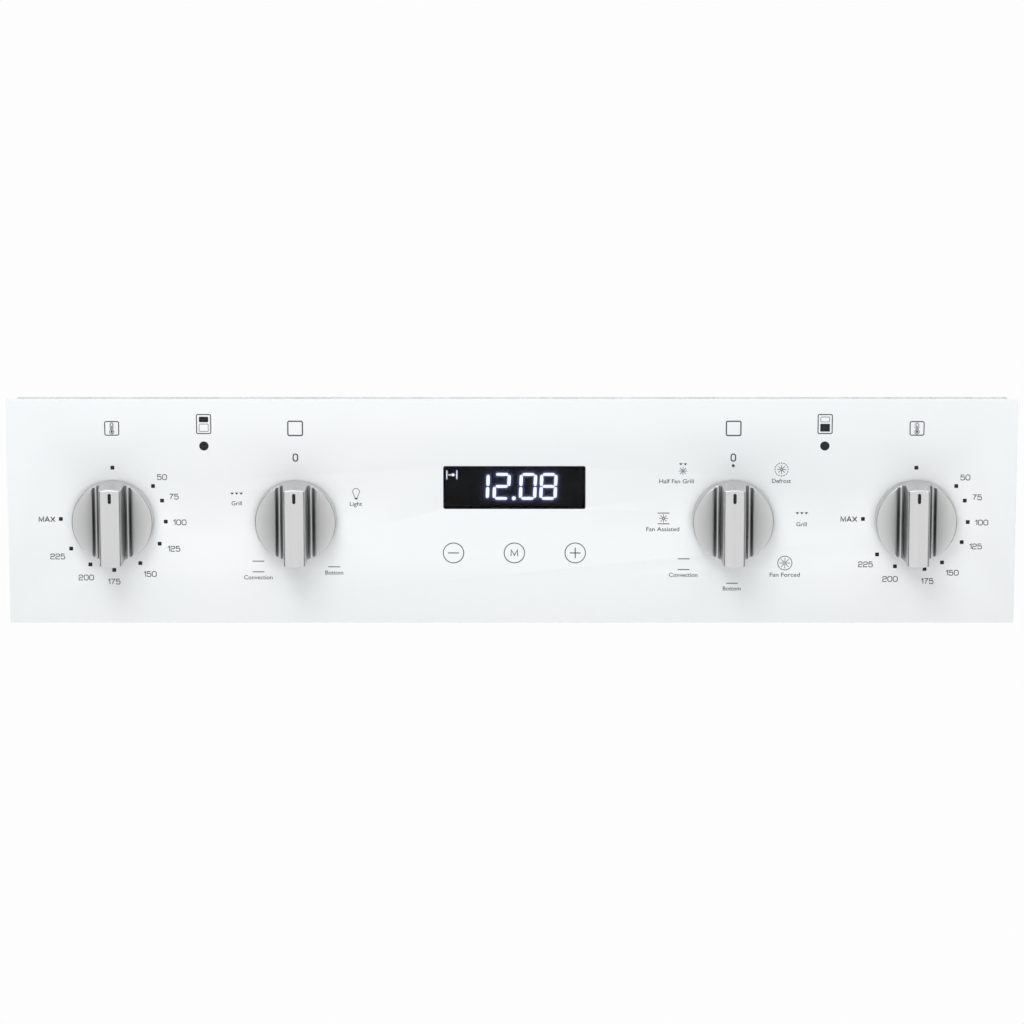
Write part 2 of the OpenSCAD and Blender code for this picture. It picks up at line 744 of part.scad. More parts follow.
module upper_function_spindle() color("silver") function_spindle(0);
module main_function_spindle() color("silver") function_spindle(1);

// Detent wheel with one notch a position, and one cam for each wafer
module function_cams(i) upright() at_control(FUNCTION_X[i]) {
    wheel_front = collar_front - collar_t - 0.1;
    difference() {
        union() {
            disc(10.5, detent_back + 0.6, wheel_front);
            disc(5.5, wafer_back(WAFERS[i] - 1) + 0.6, detent_back + 1);
            for (k = [0:WAFERS[i] - 1]) cam(wafer_back(k) + 1.2, 72 * k + 20);
        }
        for (k = [0:POSITIONS[i] - 1]) rotate(90 + 360 * k / POSITIONS[i])
            translate([11.2, 0, 0]) disc(1.8, detent_back + 0.5, wheel_front + 1);
        disc(spindle_r + 0.03, -40, wheel_front + 1);
    }
}

module cam(z0, turn) rotate(turn) difference() {
    disc(cam_r, z0, z0 + 5.6);
    for (a = [0, 130]) rotate(a) translate([cam_r + 1.5, 0, 0]) disc(4, z0 - 1, z0 + 7);
}

module upper_function_cams() color("tomato") function_cams(0);
module main_function_cams() color("tomato") function_cams(1);

fascia_glass();
display_lens();
carrier_tray();
bonding_tape();
hole_grommets();
control_plates();
control_screws();
clock_frame();
clock_rear_cover();
clock_screws();
display_board();
led_display();
touch_springs();
power_board();
transformer();
relays();
capacitors();
buzzer();
clock_terminals();
upper_pilot_lamp();
main_pilot_lamp();
upper_lamp_leads();
main_lamp_leads();
phial_clips();
upper_thermostat_housing();
upper_thermostat_cover();
upper_thermostat_terminals();
upper_capillary();
main_thermostat_housing();
main_thermostat_cover();
main_thermostat_terminals();
main_capillary();
thermostat_diaphragms();
thermostat_levers();
upper_selector_housing();
upper_selector_wafers();
upper_selector_contacts();
upper_selector_terminals();
upper_selector_rear_cap();
main_selector_housing();
main_selector_wafers();
main_selector_contacts();
main_selector_terminals();
main_selector_rear_cap();
selector_tie_screws();
selector_detents();
upper_temperature_knob();
upper_temperature_hub();
upper_temperature_spindle();
main_temperature_knob();
main_temperature_hub();
main_temperature_spindle();
upper_function_knob();
upper_function_hub();
upper_function_spindle();
upper_function_cams();
main_function_knob();
main_function_hub();
main_function_spindle();
main_function_cams();
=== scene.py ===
import json
import math

import bmesh
import bpy
from mathutils import Matrix, Vector

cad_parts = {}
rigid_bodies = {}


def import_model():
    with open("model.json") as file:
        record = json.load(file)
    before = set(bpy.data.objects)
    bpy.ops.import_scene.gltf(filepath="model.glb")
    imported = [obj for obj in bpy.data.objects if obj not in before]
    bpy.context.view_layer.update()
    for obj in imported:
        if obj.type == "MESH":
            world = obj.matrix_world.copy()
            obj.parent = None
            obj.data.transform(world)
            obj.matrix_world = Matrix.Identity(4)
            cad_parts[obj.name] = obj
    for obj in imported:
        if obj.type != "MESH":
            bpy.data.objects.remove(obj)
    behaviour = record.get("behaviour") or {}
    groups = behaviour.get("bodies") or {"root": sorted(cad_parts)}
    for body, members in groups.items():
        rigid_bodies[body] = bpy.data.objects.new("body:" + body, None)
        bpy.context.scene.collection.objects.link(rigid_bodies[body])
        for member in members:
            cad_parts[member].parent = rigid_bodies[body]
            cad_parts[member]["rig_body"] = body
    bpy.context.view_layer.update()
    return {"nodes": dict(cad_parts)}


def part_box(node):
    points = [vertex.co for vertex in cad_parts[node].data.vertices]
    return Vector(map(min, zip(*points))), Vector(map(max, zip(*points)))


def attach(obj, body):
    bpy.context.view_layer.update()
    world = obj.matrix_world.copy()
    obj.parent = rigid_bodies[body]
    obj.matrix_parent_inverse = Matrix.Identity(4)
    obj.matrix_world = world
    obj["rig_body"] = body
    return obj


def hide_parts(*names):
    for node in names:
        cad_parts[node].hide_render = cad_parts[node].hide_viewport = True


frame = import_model()
nodes = frame["nodes"]
mm = 0.001
print("frame loaded:", len(nodes), "nodes")

# Where things are, from the CAD's own solids
controls = ["upper_temperature", "upper_function", "main_function", "main_temperature"]


def middle(node):
    low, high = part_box(node)
    return (low + high) / 2


axisOf = {c: middle(c + "_knob") for c in controls}
glassLow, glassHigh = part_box("fascia_glass")
glassFront = glassLow.y
glassBack = glassHigh.y
layoutX = middle("display_lens").x
displayZ = middle("display_lens").z
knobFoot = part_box("main_function_knob")[1].y
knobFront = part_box("main_function_knob")[0].y


def newPiece(name, mesh, *materials):
    piece = bpy.data.objects.new(name, mesh)
    bpy.context.scene.collection.objects.link(piece)
    for material in materials:
        mesh.materials.append(material)
    return piece


def meshFromPoints(name, points, faces, smooth=True):
    mesh = bpy.data.meshes.new(name)
    mesh.from_pydata(points, [], faces)
    mesh.validate()
    if smooth:
        mesh.shade_smooth()
    return mesh


def meshFromBmesh(name, bm):
    mesh = bpy.data.meshes.new(name)
    bm.normal_update()
    bm.to_mesh(mesh)
    bm.free()
    return mesh


def applyModifiers(piece):
    graph = bpy.context.evaluated_depsgraph_get()
    mesh = bpy.data.meshes.new_from_object(piece.evaluated_get(graph))
    old = piece.data
    piece.modifiers.clear()
    piece.data = mesh
    if isinstance(old, bpy.types.Mesh):
        bpy.data.meshes.remove(old)
    return piece


def smoothByAngle(mesh, degrees=35):
    mesh.shade_smooth()
    bm = bmesh.new()
    bm.from_mesh(mesh)
    limit = math.radians(degrees)
    for edge in bm.edges:
        edge.smooth = len(edge.link_faces) == 2 and edge.calc_face_angle(0) < limit
    bm.to_mesh(mesh)
    bm.free()


def turnOutwards(mesh, merge=0.0):
    # Normals point out; points closer together than merge, in mm, become one first
    bm = bmesh.new()
    bm.from_mesh(mesh)
    if merge:
        bmesh.ops.remove_doubles(bm, verts=bm.verts, dist=merge * mm)
    bmesh.ops.recalc_face_normals(bm, faces=bm.faces)
    bm.to_mesh(mesh)
    bm.free()


def meshOfCurve(curve):
    piece = bpy.data.objects.new(curve.name, curve)
    bpy.context.scene.collection.objects.link(piece)
    graph = bpy.context.evaluated_depsgraph_get()
    mesh = bpy.data.meshes.new_from_object(piece.evaluated_get(graph))
    bpy.data.objects.remove(piece)
    return mesh


softening = {
    "merge": 0.002,                  # mm
    "flat": 0.5,                     # degrees that still count as one flat face
    "breakFrom": 40,                 # degrees an edge has to turn to be broken
    "smoothTo": 50,
    "segments": 2,
}


def softened(node, width, material):
    # A copy of a CAD solid with its sharp edges broken
    size = softening
    bm = bmesh.new()
    bm.from_mesh(nodes[node].data)
    bmesh.ops.remove_doubles(bm, verts=bm.verts, dist=size["merge"] * mm)
    bmesh.ops.dissolve_limit(bm, angle_limit=math.radians(size["flat"]), verts=bm.verts,
                             edges=bm.edges)
    mesh = meshFromBmesh(node + "Soft", bm)
    piece = newPiece(node + "Soft", mesh, material)
    bevel = piece.modifiers.new("edges", "BEVEL")
    bevel.width = width * mm
    bevel.segments = size["segments"]
    bevel.limit_method = "ANGLE"
    bevel.angle_limit = math.radians(size["breakFrom"])
    bevel.harden_normals = False
    applyModifiers(piece)
    smoothByAngle(piece.data, size["smoothTo"])
    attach(piece, bodyOf(node))
    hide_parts(node)
    return piece


def bodyOf(node):
    return nodes[node]["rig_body"]


def newGroup(name, inputs, outputs):
    group = bpy.data.node_groups.new(name, "ShaderNodeTree")
    for label, kind, value in inputs:
        socket = group.interface.new_socket(label, in_out="INPUT", socket_type=kind)
        socket.default_value = value
    for label, kind in outputs:
        group.interface.new_socket(label, in_out="OUTPUT", socket_type=kind)
    source = group.nodes.new("NodeGroupInput")
    sink = group.nodes.new("NodeGroupOutput")
    return group, source, sink


def add(tree, kind, **values):
    made = tree.nodes.new(kind)
    for key, value in values.items():
        setattr(made, key, value)
    return made


def mathNode(tree, operation, a, b=None, clamp=False):
    made = add(tree, "ShaderNodeMath", operation=operation, use_clamp=clamp)
    for index, value in enumerate((a, b)):
        if value is None:
            continue
        if isinstance(value, (int, float)):
            made.inputs[index].default_value = value
        else:
            tree.links.new(value, made.inputs[index])
    return made.outputs[0]


def mixColor(tree, factor, a, b):
    made = add(tree, "ShaderNodeMix", data_type="RGBA")
    for socket, value in ((made.inputs[0], factor), (made.inputs[6], a), (made.inputs[7], b)):
        if isinstance(value, (int, float)):
            socket.default_value = value
        elif isinstance(value, (tuple, list)):
            socket.default_value = tuple(value) + (1,) * (4 - len(value))
        else:
            tree.links.new(value, socket)
    return made.outputs[2]


def objectPoint(tree, scale=(1, 1, 1)):
    coordinate = add(tree, "ShaderNodeTexCoord")
    mapping = add(tree, "ShaderNodeMapping")
    mapping.inputs["Scale"].default_value = scale
    tree.links.new(coordinate.outputs["Object"], mapping.inputs["Vector"])
    return mapping.outputs[0]


def noiseAt(tree, point, scale, detail=3, roughness=0.5):
    made = add(tree, "ShaderNodeTexNoise")
    made.inputs["Scale"].default_value = scale
    made.inputs["Detail"].default_value = detail
    made.inputs["Roughness"].default_value = roughness
    tree.links.new(point, made.inputs["Vector"])
    return made.outputs["Fac"]


def mapRange(tree, value, low, high, toLow, toHigh):
    made = add(tree, "ShaderNodeMapRange")
    tree.links.new(value, made.inputs[0])
    for index, number in enumerate((low, high, toLow, toHigh)):
        made.inputs[index + 1].default_value = number
    return made.outputs[0]


# Fine texture of a moulding: speckle for colour, grain for height, and a mask of dust
def makeMouldedGrain():
    group, source, sink = newGroup(
        "mouldedGrain",
        [("Size", "NodeSocketFloat", 900.0), ("Mottle", "NodeSocketFloat", 40.0)],
        [("Grain", "NodeSocketFloat"), ("Mottle", "NodeSocketFloat"),
         ("Dust", "NodeSocketFloat")])
    point = objectPoint(group)
    grain = add(group, "ShaderNodeTexVoronoi", feature="SMOOTH_F1")
    grain.inputs["Smoothness"].default_value = 0.6
    group.links.new(point, grain.inputs["Vector"])
    group.links.new(source.outputs["Size"], grain.inputs["Scale"])
    mottle = add(group, "ShaderNodeTexNoise")
    mottle.inputs["Detail"].default_value = 4
    group.links.new(point, mottle.inputs["Vector"])
    group.links.new(source.outputs["Mottle"], mottle.inputs["Scale"])
    normal = add(group, "ShaderNodeNewGeometry")
    split = add(group, "ShaderNodeSeparateXYZ")
    group.links.new(normal.outputs["Normal"], split.inputs[0])
    facingUp = mapRange(group, split.outputs["Z"], 0.4, 1.0, 0.0, 1.0)
    speck = mapRange(group, noiseAt(group, point, 160, 5, 0.65), 0.45, 0.7, 0.0, 1.0)
    group.links.new(grain.outputs["Distance"], sink.inputs["Grain"])
    group.links.new(mottle.outputs["Fac"], sink.inputs["Mottle"])
    group.links.new(mathNode(group, "MULTIPLY", facingUp, speck, True), sink.inputs["Dust"])
    return group


# Long fine scratches along one direction, as brushing or drawing leaves them
def makeBrushedLines():
    group, source, sink = newGroup(
        "brushedLines",
        [("Along", "NodeSocketVector", (1.0, 1.0, 0.02)), ("Density", "NodeSocketFloat", 2400.0)],
        [("Lines", "NodeSocketFloat"), ("Bands", "NodeSocketFloat")])
    coordinate = add(group, "ShaderNodeTexCoord")
    stretch = add(group, "ShaderNodeVectorMath", operation="MULTIPLY")
    group.links.new(coordinate.outputs["Object"], stretch.inputs[0])
    group.links.new(source.outputs["Along"], stretch.inputs[1])
    lines = add(group, "ShaderNodeTexNoise")
    lines.inputs["Detail"].default_value = 3
    group.links.new(stretch.outputs[0], lines.inputs["Vector"])
    group.links.new(source.outputs["Density"], lines.inputs["Scale"])
    bands = add(group, "ShaderNodeTexNoise")
    bands.inputs["Detail"].default_value = 2
    bands.inputs["Scale"].default_value = 220
    group.links.new(stretch.outputs[0], bands.inputs["Vector"])
    group.links.new(lines.outputs["Fac"], sink.inputs["Lines"])
    group.links.new(bands.outputs["Fac"], sink.inputs["Bands"])
    return group


# Bright worn edges, from how sharply the surface turns
def makeEdgeWear():
    group, source, sink = newGroup(
        "edgeWear",
        [("Start", "NodeSocketFloat", 0.52), ("Strength", "NodeSocketFloat", 1.0)],
        [("Wear", "NodeSocketFloat")])
    geometry = add(group, "ShaderNodeNewGeometry")
    edge = mathNode(group, "SUBTRACT", geometry.outputs["Pointiness"], source.outputs["Start"])
    edge = mathNode(group, "MULTIPLY", edge, 18.0, True)
    breakUp = mapRange(group, noiseAt(group, objectPoint(group), 420, 4), 0.4, 0.62, 0.1, 1.0)
    edge = mathNode(group, "MULTIPLY", edge, breakUp)
    edge = mathNode(group, "MULTIPLY", edge, source.outputs["Strength"], True)
    group.links.new(edge, sink.inputs["Wear"])
    return group


mouldedGrain = makeMouldedGrain()
brushedLines = makeBrushedLines()
edgeWear = makeEdgeWear()
print("shader groups built")


def newMaterial(name, **sockets):
    material = bpy.data.materials.new(name)
    material.use_nodes = True
    shader = material.node_tree.nodes["Principled BSDF"]
    for label, value in sockets.items():
        shader.inputs[label.replace("_", " ")].default_value = value
    return material, material.node_tree, shader


def placeGroup(tree, group, **values):
    made = add(tree, "ShaderNodeGroup", node_tree=group)
    for label, value in values.items():
        made.inputs[label].default_value = value
    return made


def bumpFrom(tree, shader, height, strength, distance):
    bump = add(tree, "ShaderNodeBump")
    bump.inputs["Strength"].default_value = strength
    bump.inputs["Distance"].default_value = distance * mm
    tree.links.new(height, bump.inputs["Height"])
    tree.links.new(bump.outputs[0], shader.inputs["Normal"])


plainFinish = {
    "dust": (0.6, 0.58, 0.55),
    "dustAmount": 0.22,
    "mouldedWear": 0.35,
    "metalWear": 0.5,
    "metalVary": 0.1,
    "metalBump": 0.15,
}


def mouldedMaterial(name, color, roughness=0.45, size=900.0, bump=0.25, vary=0.12, **sockets):
    material, tree, shader = newMaterial(name, **sockets)
    grain = placeGroup(tree, mouldedGrain, Size=size)
    wear = placeGroup(tree, edgeWear, Strength=plainFinish["mouldedWear"])
    darker = tuple(c * (1 - vary) for c in color)
    lighter = tuple(min(1, c * (1 + vary) + 0.01) for c in color)
    base = mixColor(tree, grain.outputs["Mottle"], darker, lighter)
    edge = tuple(min(1, c * 1.5 + 0.03) for c in color)
    base = mixColor(tree, wear.outputs["Wear"], base, edge)
    thin = mathNode(tree, "MULTIPLY", grain.outputs["Dust"], plainFinish["dustAmount"])
    base = mixColor(tree, thin, base, plainFinish["dust"])
    tree.links.new(base, shader.inputs["Base Color"])
    rough = mapRange(tree, grain.outputs["Mottle"], 0.3, 0.7, roughness - 0.06, roughness + 0.08)
    tree.links.new(rough, shader.inputs["Roughness"])
    bumpFrom(tree, shader, grain.outputs["Grain"], bump, 0.05)
    return material


def metalMaterial(name, color, roughness=0.3, along=(1.0, 1.0, 0.02), density=2400.0,
                  wearColor=None, **sockets):
    material, tree, shader = newMaterial(name, Metallic=1.0, **sockets)
    brushed = placeGroup(tree, brushedLines, Along=along, Density=density)
    wear = placeGroup(tree, edgeWear, Strength=plainFinish["metalWear"])
    vary = plainFinish["metalVary"]
    darker = tuple(c * (1 - vary) for c in color)
    lighter = tuple(min(1, c * (1 + vary)) for c in color)
    base = mixColor(tree, brushed.outputs["Bands"], darker, lighter)
    base = mixColor(tree, wear.outputs["Wear"], base, wearColor or lighter)
    tree.links.new(base, shader.inputs["Base Color"])
    rough = mapRange(tree, brushed.outputs["Lines"], 0.25, 0.75, roughness - 0.07,
                     roughness + 0.09)
    tree.links.new(rough, shader.inputs["Roughness"])
    bumpFrom(tree, shader, brushed.outputs["Lines"], plainFinish["metalBump"], 0.02)
    return material


enamelGlass = {
    "white": (0.885, 0.905, 0.91),
    "cloud": (0.865, 0.895, 0.902),
    "edgeTint": (0.80, 0.86, 0.855),
    "roughness": 0.32,
    "coatRoughness": 0.03,
    "edgeBand": 0.6,                 # mm in from the rim that the ground edge tints
    "edgeFront": (0.74, 0.82, 0.80),
    "edgeBack": (0.80, 0.86, 0.85),
    "edgeStreak": (0.64, 0.75, 0.73),
}


# White enamel seen through polished glass, greener at the ground edge
def makeWhiteGlass():
    size = enamelGlass
    material, tree, shader = newMaterial(
        "whiteGlass", Roughness=size["roughness"], Coat_Weight=1.0, Coat_IOR=1.52,
        Coat_Roughness=size["coatRoughness"], Specular_IOR_Level=0.15)
    point = objectPoint(tree)
    split = add(tree, "ShaderNodeSeparateXYZ")
    tree.links.new(point, split.inputs[0])
    cloud = mapRange(tree, noiseAt(tree, point, 9, 2), 0.35, 0.65, 0.0, 1.0)
    base = mixColor(tree, cloud, size["white"], size["cloud"])
    out = mathNode(tree, "ABSOLUTE", split.outputs["X"])
    up = mathNode(tree, "ABSOLUTE", split.outputs["Z"])
    fromSide = mathNode(tree, "SUBTRACT", glassHigh.x, out)
    fromTop = mathNode(tree, "SUBTRACT", glassHigh.z, up)
    nearest = mathNode(tree, "MINIMUM", fromSide, fromTop)
    band = mapRange(tree, nearest, 0.0, size["edgeBand"] * mm, 0.85, 0.0)
    base = mixColor(tree, band, base, size["edgeTint"])
    tree.links.new(base, shader.inputs["Base Color"])
    ripple = noiseAt(tree, point, 22, 1)
    bumpFrom(tree, shader, ripple, 0.02, 0.3)
    return material


# Polished edge of the same glass
def makeGlassEdge():
    size = enamelGlass
    material, tree, shader = newMaterial(
        "glassEdge", Roughness=0.12, Coat_Weight=0.6, Coat_Roughness=0.05)
    point = objectPoint(tree)
    split = add(tree, "ShaderNodeSeparateXYZ")
    tree.links.new(point, split.inputs[0])
    depth = mapRange(tree, split.outputs["Y"], glassFront, glassBack, 0.0, 1.0)
    streak = noiseAt(tree, objectPoint(tree, scale=(1, 6, 1)), 240, 4)
    tint = mixColor(tree, depth, size["edgeFront"], size["edgeBack"])
    tint = mixColor(tree, mapRange(tree, streak, 0.4, 0.6, 0.0, 0.25), tint, size["edgeStreak"])
    tree.links.new(tint, shader.inputs["Base Color"])
    bumpFrom(tree, shader, streak, 0.12, 0.05)
    return material


def makeWindowGlass():
    material, tree, shader = newMaterial(
        "windowGlass", Transmission_Weight=1.0, IOR=1.13, Metallic=0.0)
    point = objectPoint(tree)
    smear = noiseAt(tree, point, 35, 3)
    tree.links.new(mapRange(tree, smear, 0.35, 0.7, 0.0, 0.02), shader.inputs["Roughness"])
    tone = mixColor(tree, smear, (0.93, 0.95, 0.96), (0.97, 0.98, 0.98))
    tree.links.new(tone, shader.inputs["Base Color"])
    bumpFrom(tree, shader, noiseAt(tree, point, 30, 1), 0.02, 0.1)
    return material


def makeSmokedLens():
    material, tree, shader = newMaterial(
        "smokedLens", Transmission_Weight=1.0, IOR=1.15, Metallic=0.0)
    point = objectPoint(tree)
    haze = noiseAt(tree, point, 60, 3)
    tree.links.new(mixColor(tree, haze, (0.42, 0.43, 0.47), (0.5, 0.5, 0.55)),
                   shader.inputs["Base Color"])
    tree.links.new(mapRange(tree, haze, 0.3, 0.7, 0.01, 0.06), shader.inputs["Roughness"])
    return material


# Screen-printed ink: its two tones and the range of its roughness
def makePrint(name, scale, tones, rough):
    material, tree, shader = newMaterial(
        name, Coat_Weight=0.2, Coat_Roughness=0.08, Specular_IOR_Level=0.15)
    mottle = noiseAt(tree, objectPoint(tree), scale, 3)
    tree.links.new(mixColor(tree, mottle, *tones), shader.inputs["Base Color"])
    tree.links.new(mapRange(tree, mottle, 0.3, 0.7, *rough), shader.inputs["Roughness"])
    return material


knobMetal = {
    "color": (0.565, 0.57, 0.565),
    "bright": (0.635, 0.638, 0.632),
    # painted shade: the near-black that the grooves and wings are darkened towards
    "recess": (0.085, 0.085, 0.094),
    "roughness": 0.33,
}


# Satin plated knob, brushed along its bar, with painted shade from a point attribute: dark in the
# grooves and on the wings by the bar
def makeKnobMetal():
    size = knobMetal
    material, tree, shader = newMaterial("satinMetal", Metallic=1.0)
    brushed = placeGroup(tree, brushedLines, Along=(1.0, 1.0, 0.05), Density=3600.0)
    wear = placeGroup(tree, edgeWear, Strength=0.5, Start=0.53)
    base = mixColor(tree, brushed.outputs["Bands"], size["color"], size["bright"])
    base = mixColor(tree, wear.outputs["Wear"], base, (0.85, 0.85, 0.84))
    # painted shade: the point attribute darkens the grooves, the wings' lip and the wings next to
    # the bar
    recess = add(tree, "ShaderNodeAttribute", attribute_name="recess")
    base = mixColor(tree, recess.outputs["Fac"], base, size["recess"])
    tree.links.new(base, shader.inputs["Base Color"])
    rough = mapRange(tree, brushed.outputs["Lines"], 0.25, 0.75, size["roughness"] - 0.05,
                     size["roughness"] + 0.07)
    tree.links.new(rough, shader.inputs["Roughness"])
    bumpFrom(tree, shader, brushed.outputs["Lines"], 0.035, 0.01)
    return material


# Zinc-coated sheet, with the large crystals that hot dipping leaves
def makeZincSheet():
    material, tree, shader = newMaterial("zincSheet", Metallic=1.0)
    point = objectPoint(tree)
    warped = add(tree, "ShaderNodeTexNoise")
    warped.inputs["Scale"].default_value = 60
    tree.links.new(point, warped.inputs["Vector"])
    moved = add(tree, "ShaderNodeVectorMath", operation="SCALE")
    moved.inputs["Scale"].default_value = 0.012
    tree.links.new(warped.outputs["Color"], moved.inputs[0])
    total = add(tree, "ShaderNodeVectorMath", operation="ADD")
    tree.links.new(point, total.inputs[0])
    tree.links.new(moved.outputs[0], total.inputs[1])
    crystal = add(tree, "ShaderNodeTexVoronoi", feature="F1")
    crystal.inputs["Scale"].default_value = 95
    tree.links.new(total.outputs[0], crystal.inputs["Vector"])
    shade = add(tree, "ShaderNodeSeparateColor")
    tree.links.new(crystal.outputs["Color"], shade.inputs[0])
    wear = placeGroup(tree, edgeWear, Strength=0.6)
    base = mixColor(tree, shade.outputs["Red"], (0.52, 0.54, 0.56), (0.68, 0.70, 0.72))
    stain = mapRange(tree, noiseAt(tree, point, 14, 5), 0.5, 0.72, 0.0, 0.35)
    base = mixColor(tree, stain, base, (0.42, 0.43, 0.43))
    base = mixColor(tree, wear.outputs["Wear"], base, (0.85, 0.86, 0.87))
    tree.links.new(base, shader.inputs["Base Color"])
    rough = mapRange(tree, shade.outputs["Green"], 0.0, 1.0, 0.28, 0.5)
    tree.links.new(rough, shader.inputs["Roughness"])
    bumpFrom(tree, shader, crystal.outputs["Distance"], 0.06, 0.1)
    return material


# Solder resist over copper tracks that run between uneven cells
def makeBoard():
    material, tree, shader = newMaterial("circuitBoard", Coat_Weight=0.4, Coat_Roughness=0.2)
    point = objectPoint(tree)
    cell = add(tree, "ShaderNodeTexVoronoi", feature="DISTANCE_TO_EDGE", distance="EUCLIDEAN")
    cell.inputs["Scale"].default_value = 190
    cell.inputs["Randomness"].default_value = 0.85
    tree.links.new(point, cell.inputs["Vector"])
    track = mapRange(tree, cell.outputs["Distance"], 0.06, 0.09, 1.0, 0.0)
    grain = noiseAt(tree, point, 300, 4)
    base = mixColor(tree, grain, (0.012, 0.12, 0.045), (0.02, 0.17, 0.07))
    base = mixColor(tree, track, base, (0.07, 0.33, 0.13))
    tree.links.new(base, shader.inputs["Base Color"])
    tree.links.new(mapRange(tree, grain, 0.3, 0.7, 0.3, 0.42), shader.inputs["Roughness"])
    bumpFrom(tree, shader, track, 0.3, 0.03)
    return material


def makeLedGlow():
    material, tree, shader = newMaterial("segmentLight", Emission_Strength=1.0, Roughness=0.5)
    shader.inputs["Base Color"].default_value = (0.8, 0.85, 0.9, 1)
    point = objectPoint(tree)
    hot = noiseAt(tree, point, 260, 2)
    tree.links.new(mixColor(tree, hot, (1.7, 1.75, 1.95), (2.2, 2.25, 2.45)),
                   shader.inputs["Emission Color"])
    return material


# Face of the display module: black, lit around the segments by how near they are
def makeLedFace():
    material, tree, shader = newMaterial("moduleFace", Emission_Strength=1.0, Roughness=0.7,
                                         Specular_IOR_Level=0.05)
    glow = add(tree, "ShaderNodeAttribute", attribute_name="glow")
    point = objectPoint(tree)
    grain = noiseAt(tree, point, 900, 3)
    tree.links.new(mixColor(tree, grain, (0.003, 0.0035, 0.004), (0.007, 0.0075, 0.009)),
                   shader.inputs["Base Color"])
    tree.links.new(mixColor(tree, glow.outputs["Fac"], (0, 0, 0), (0.30, 0.33, 0.72)),
                   shader.inputs["Emission Color"])
    bumpFrom(tree, shader, grain, 0.2, 0.02)
    return material


whiteGlass = makeWhiteGlass()
glassEdge = makeGlassEdge()
windowGlass = makeWindowGlass()
smokedLens = makeSmokedLens()
blackPrint = makePrint("blackPrint", 700, ((0.008, 0.008, 0.009), (0.016, 0.016, 0.018)),
                       (0.22, 0.34))
greyPrint = makePrint("greyPrint", 1500, ((0.03, 0.032, 0.036), (0.06, 0.063, 0.068)),
                      (0.3, 0.45))
satinMetal = makeKnobMetal()
zincSheet = makeZincSheet()
circuitBoard = makeBoard()
segmentLight = makeLedGlow()
moduleFace = makeLedFace()
blackMoulding = mouldedMaterial("blackMoulding", (0.022, 0.022, 0.024), 0.5, 1100.0, 0.35)
blackSocket = mouldedMaterial("hubMoulding", (0.03, 0.03, 0.032), 0.42, 1400.0, 0.2)
whiteMoulding = mouldedMaterial("whiteMoulding", (0.78, 0.78, 0.75), 0.4, 1200.0, 0.15, vary=0.04)
ivoryMoulding = mouldedMaterial("terminalBlock", (0.74, 0.70, 0.6), 0.42, 1200.0, 0.15, vary=0.05)
ceramicBody = mouldedMaterial("steatite", (0.72, 0.66, 0.55), 0.62, 700.0, 0.5, vary=0.08)
foamTape = mouldedMaterial("foamTape", (0.035, 0.035, 0.036), 0.9, 1500.0, 0.9)
relayCase = mouldedMaterial("relayCase", (0.03, 0.1, 0.34), 0.3, 1600.0, 0.1)
coilTape = mouldedMaterial("coilTape", (0.72, 0.52, 0.08), 0.35, 300.0, 0.2)
capacitorSleeve = mouldedMaterial("capacitorSleeve", (0.03, 0.035, 0.06), 0.28, 900.0, 0.08)
camMoulding = mouldedMaterial("camMoulding", (0.55, 0.07, 0.03), 0.35, 1300.0, 0.12)
amberLamp = mouldedMaterial("amberLamp", (0.5, 0.12, 0.02), 0.15, 500.0, 0.05, vary=0.2)
leadSleeve = mouldedMaterial("leadSleeve", (0.5, 0.03, 0.02), 0.42, 1800.0, 0.2)
brightSteel = metalMaterial("brightSteel", (0.72, 0.72, 0.72), 0.26)
pressedSteel = metalMaterial("pressedSteel", (0.6, 0.61, 0.62), 0.32, along=(0.03, 1.0, 1.0))
brassTab = metalMaterial("brassTab", (0.83, 0.62, 0.28), 0.25, along=(1.0, 1.0, 0.05))
copperTube = metalMaterial("copperTube", (0.78, 0.42, 0.25), 0.28, density=900.0,
                           wearColor=(0.9, 0.6, 0.42))
print("materials built")


def newTree(name, inputs):
    tree = bpy.data.node_groups.new(name, "GeometryNodeTree")
    for label, kind, value in inputs:
        socket = tree.interface.new_socket(label, in_out="INPUT", socket_type=kind)
        if value is not None:
            socket.default_value = value
    tree.interface.new_socket("Geometry", in_out="OUTPUT", socket_type="NodeSocketGeometry")
    return tree, tree.nodes.new("NodeGroupInput"), tree.nodes.new("NodeGroupOutput")


def gnode(tree, kind, inputs=None, **values):
    made = tree.nodes.new(kind)
    for key, value in values.items():
        setattr(made, key, value)
    for label, value in (inputs or {}).items():
        socket = made.inputs[label]
        if isinstance(value, bpy.types.NodeSocket):
            tree.links.new(value, socket)
        else:
            socket.default_value = value
    return made


def closeTree(tree, sink, geometry, material):
    real = gnode(tree, "GeometryNodeRealizeInstances", {"Geometry": geometry})
    paint = gnode(tree, "GeometryNodeSetMaterial", {"Geometry": real.outputs[0]})
    tree.links.new(material, paint.inputs["Material"])
    tree.links.new(paint.outputs[0], sink.inputs[0])


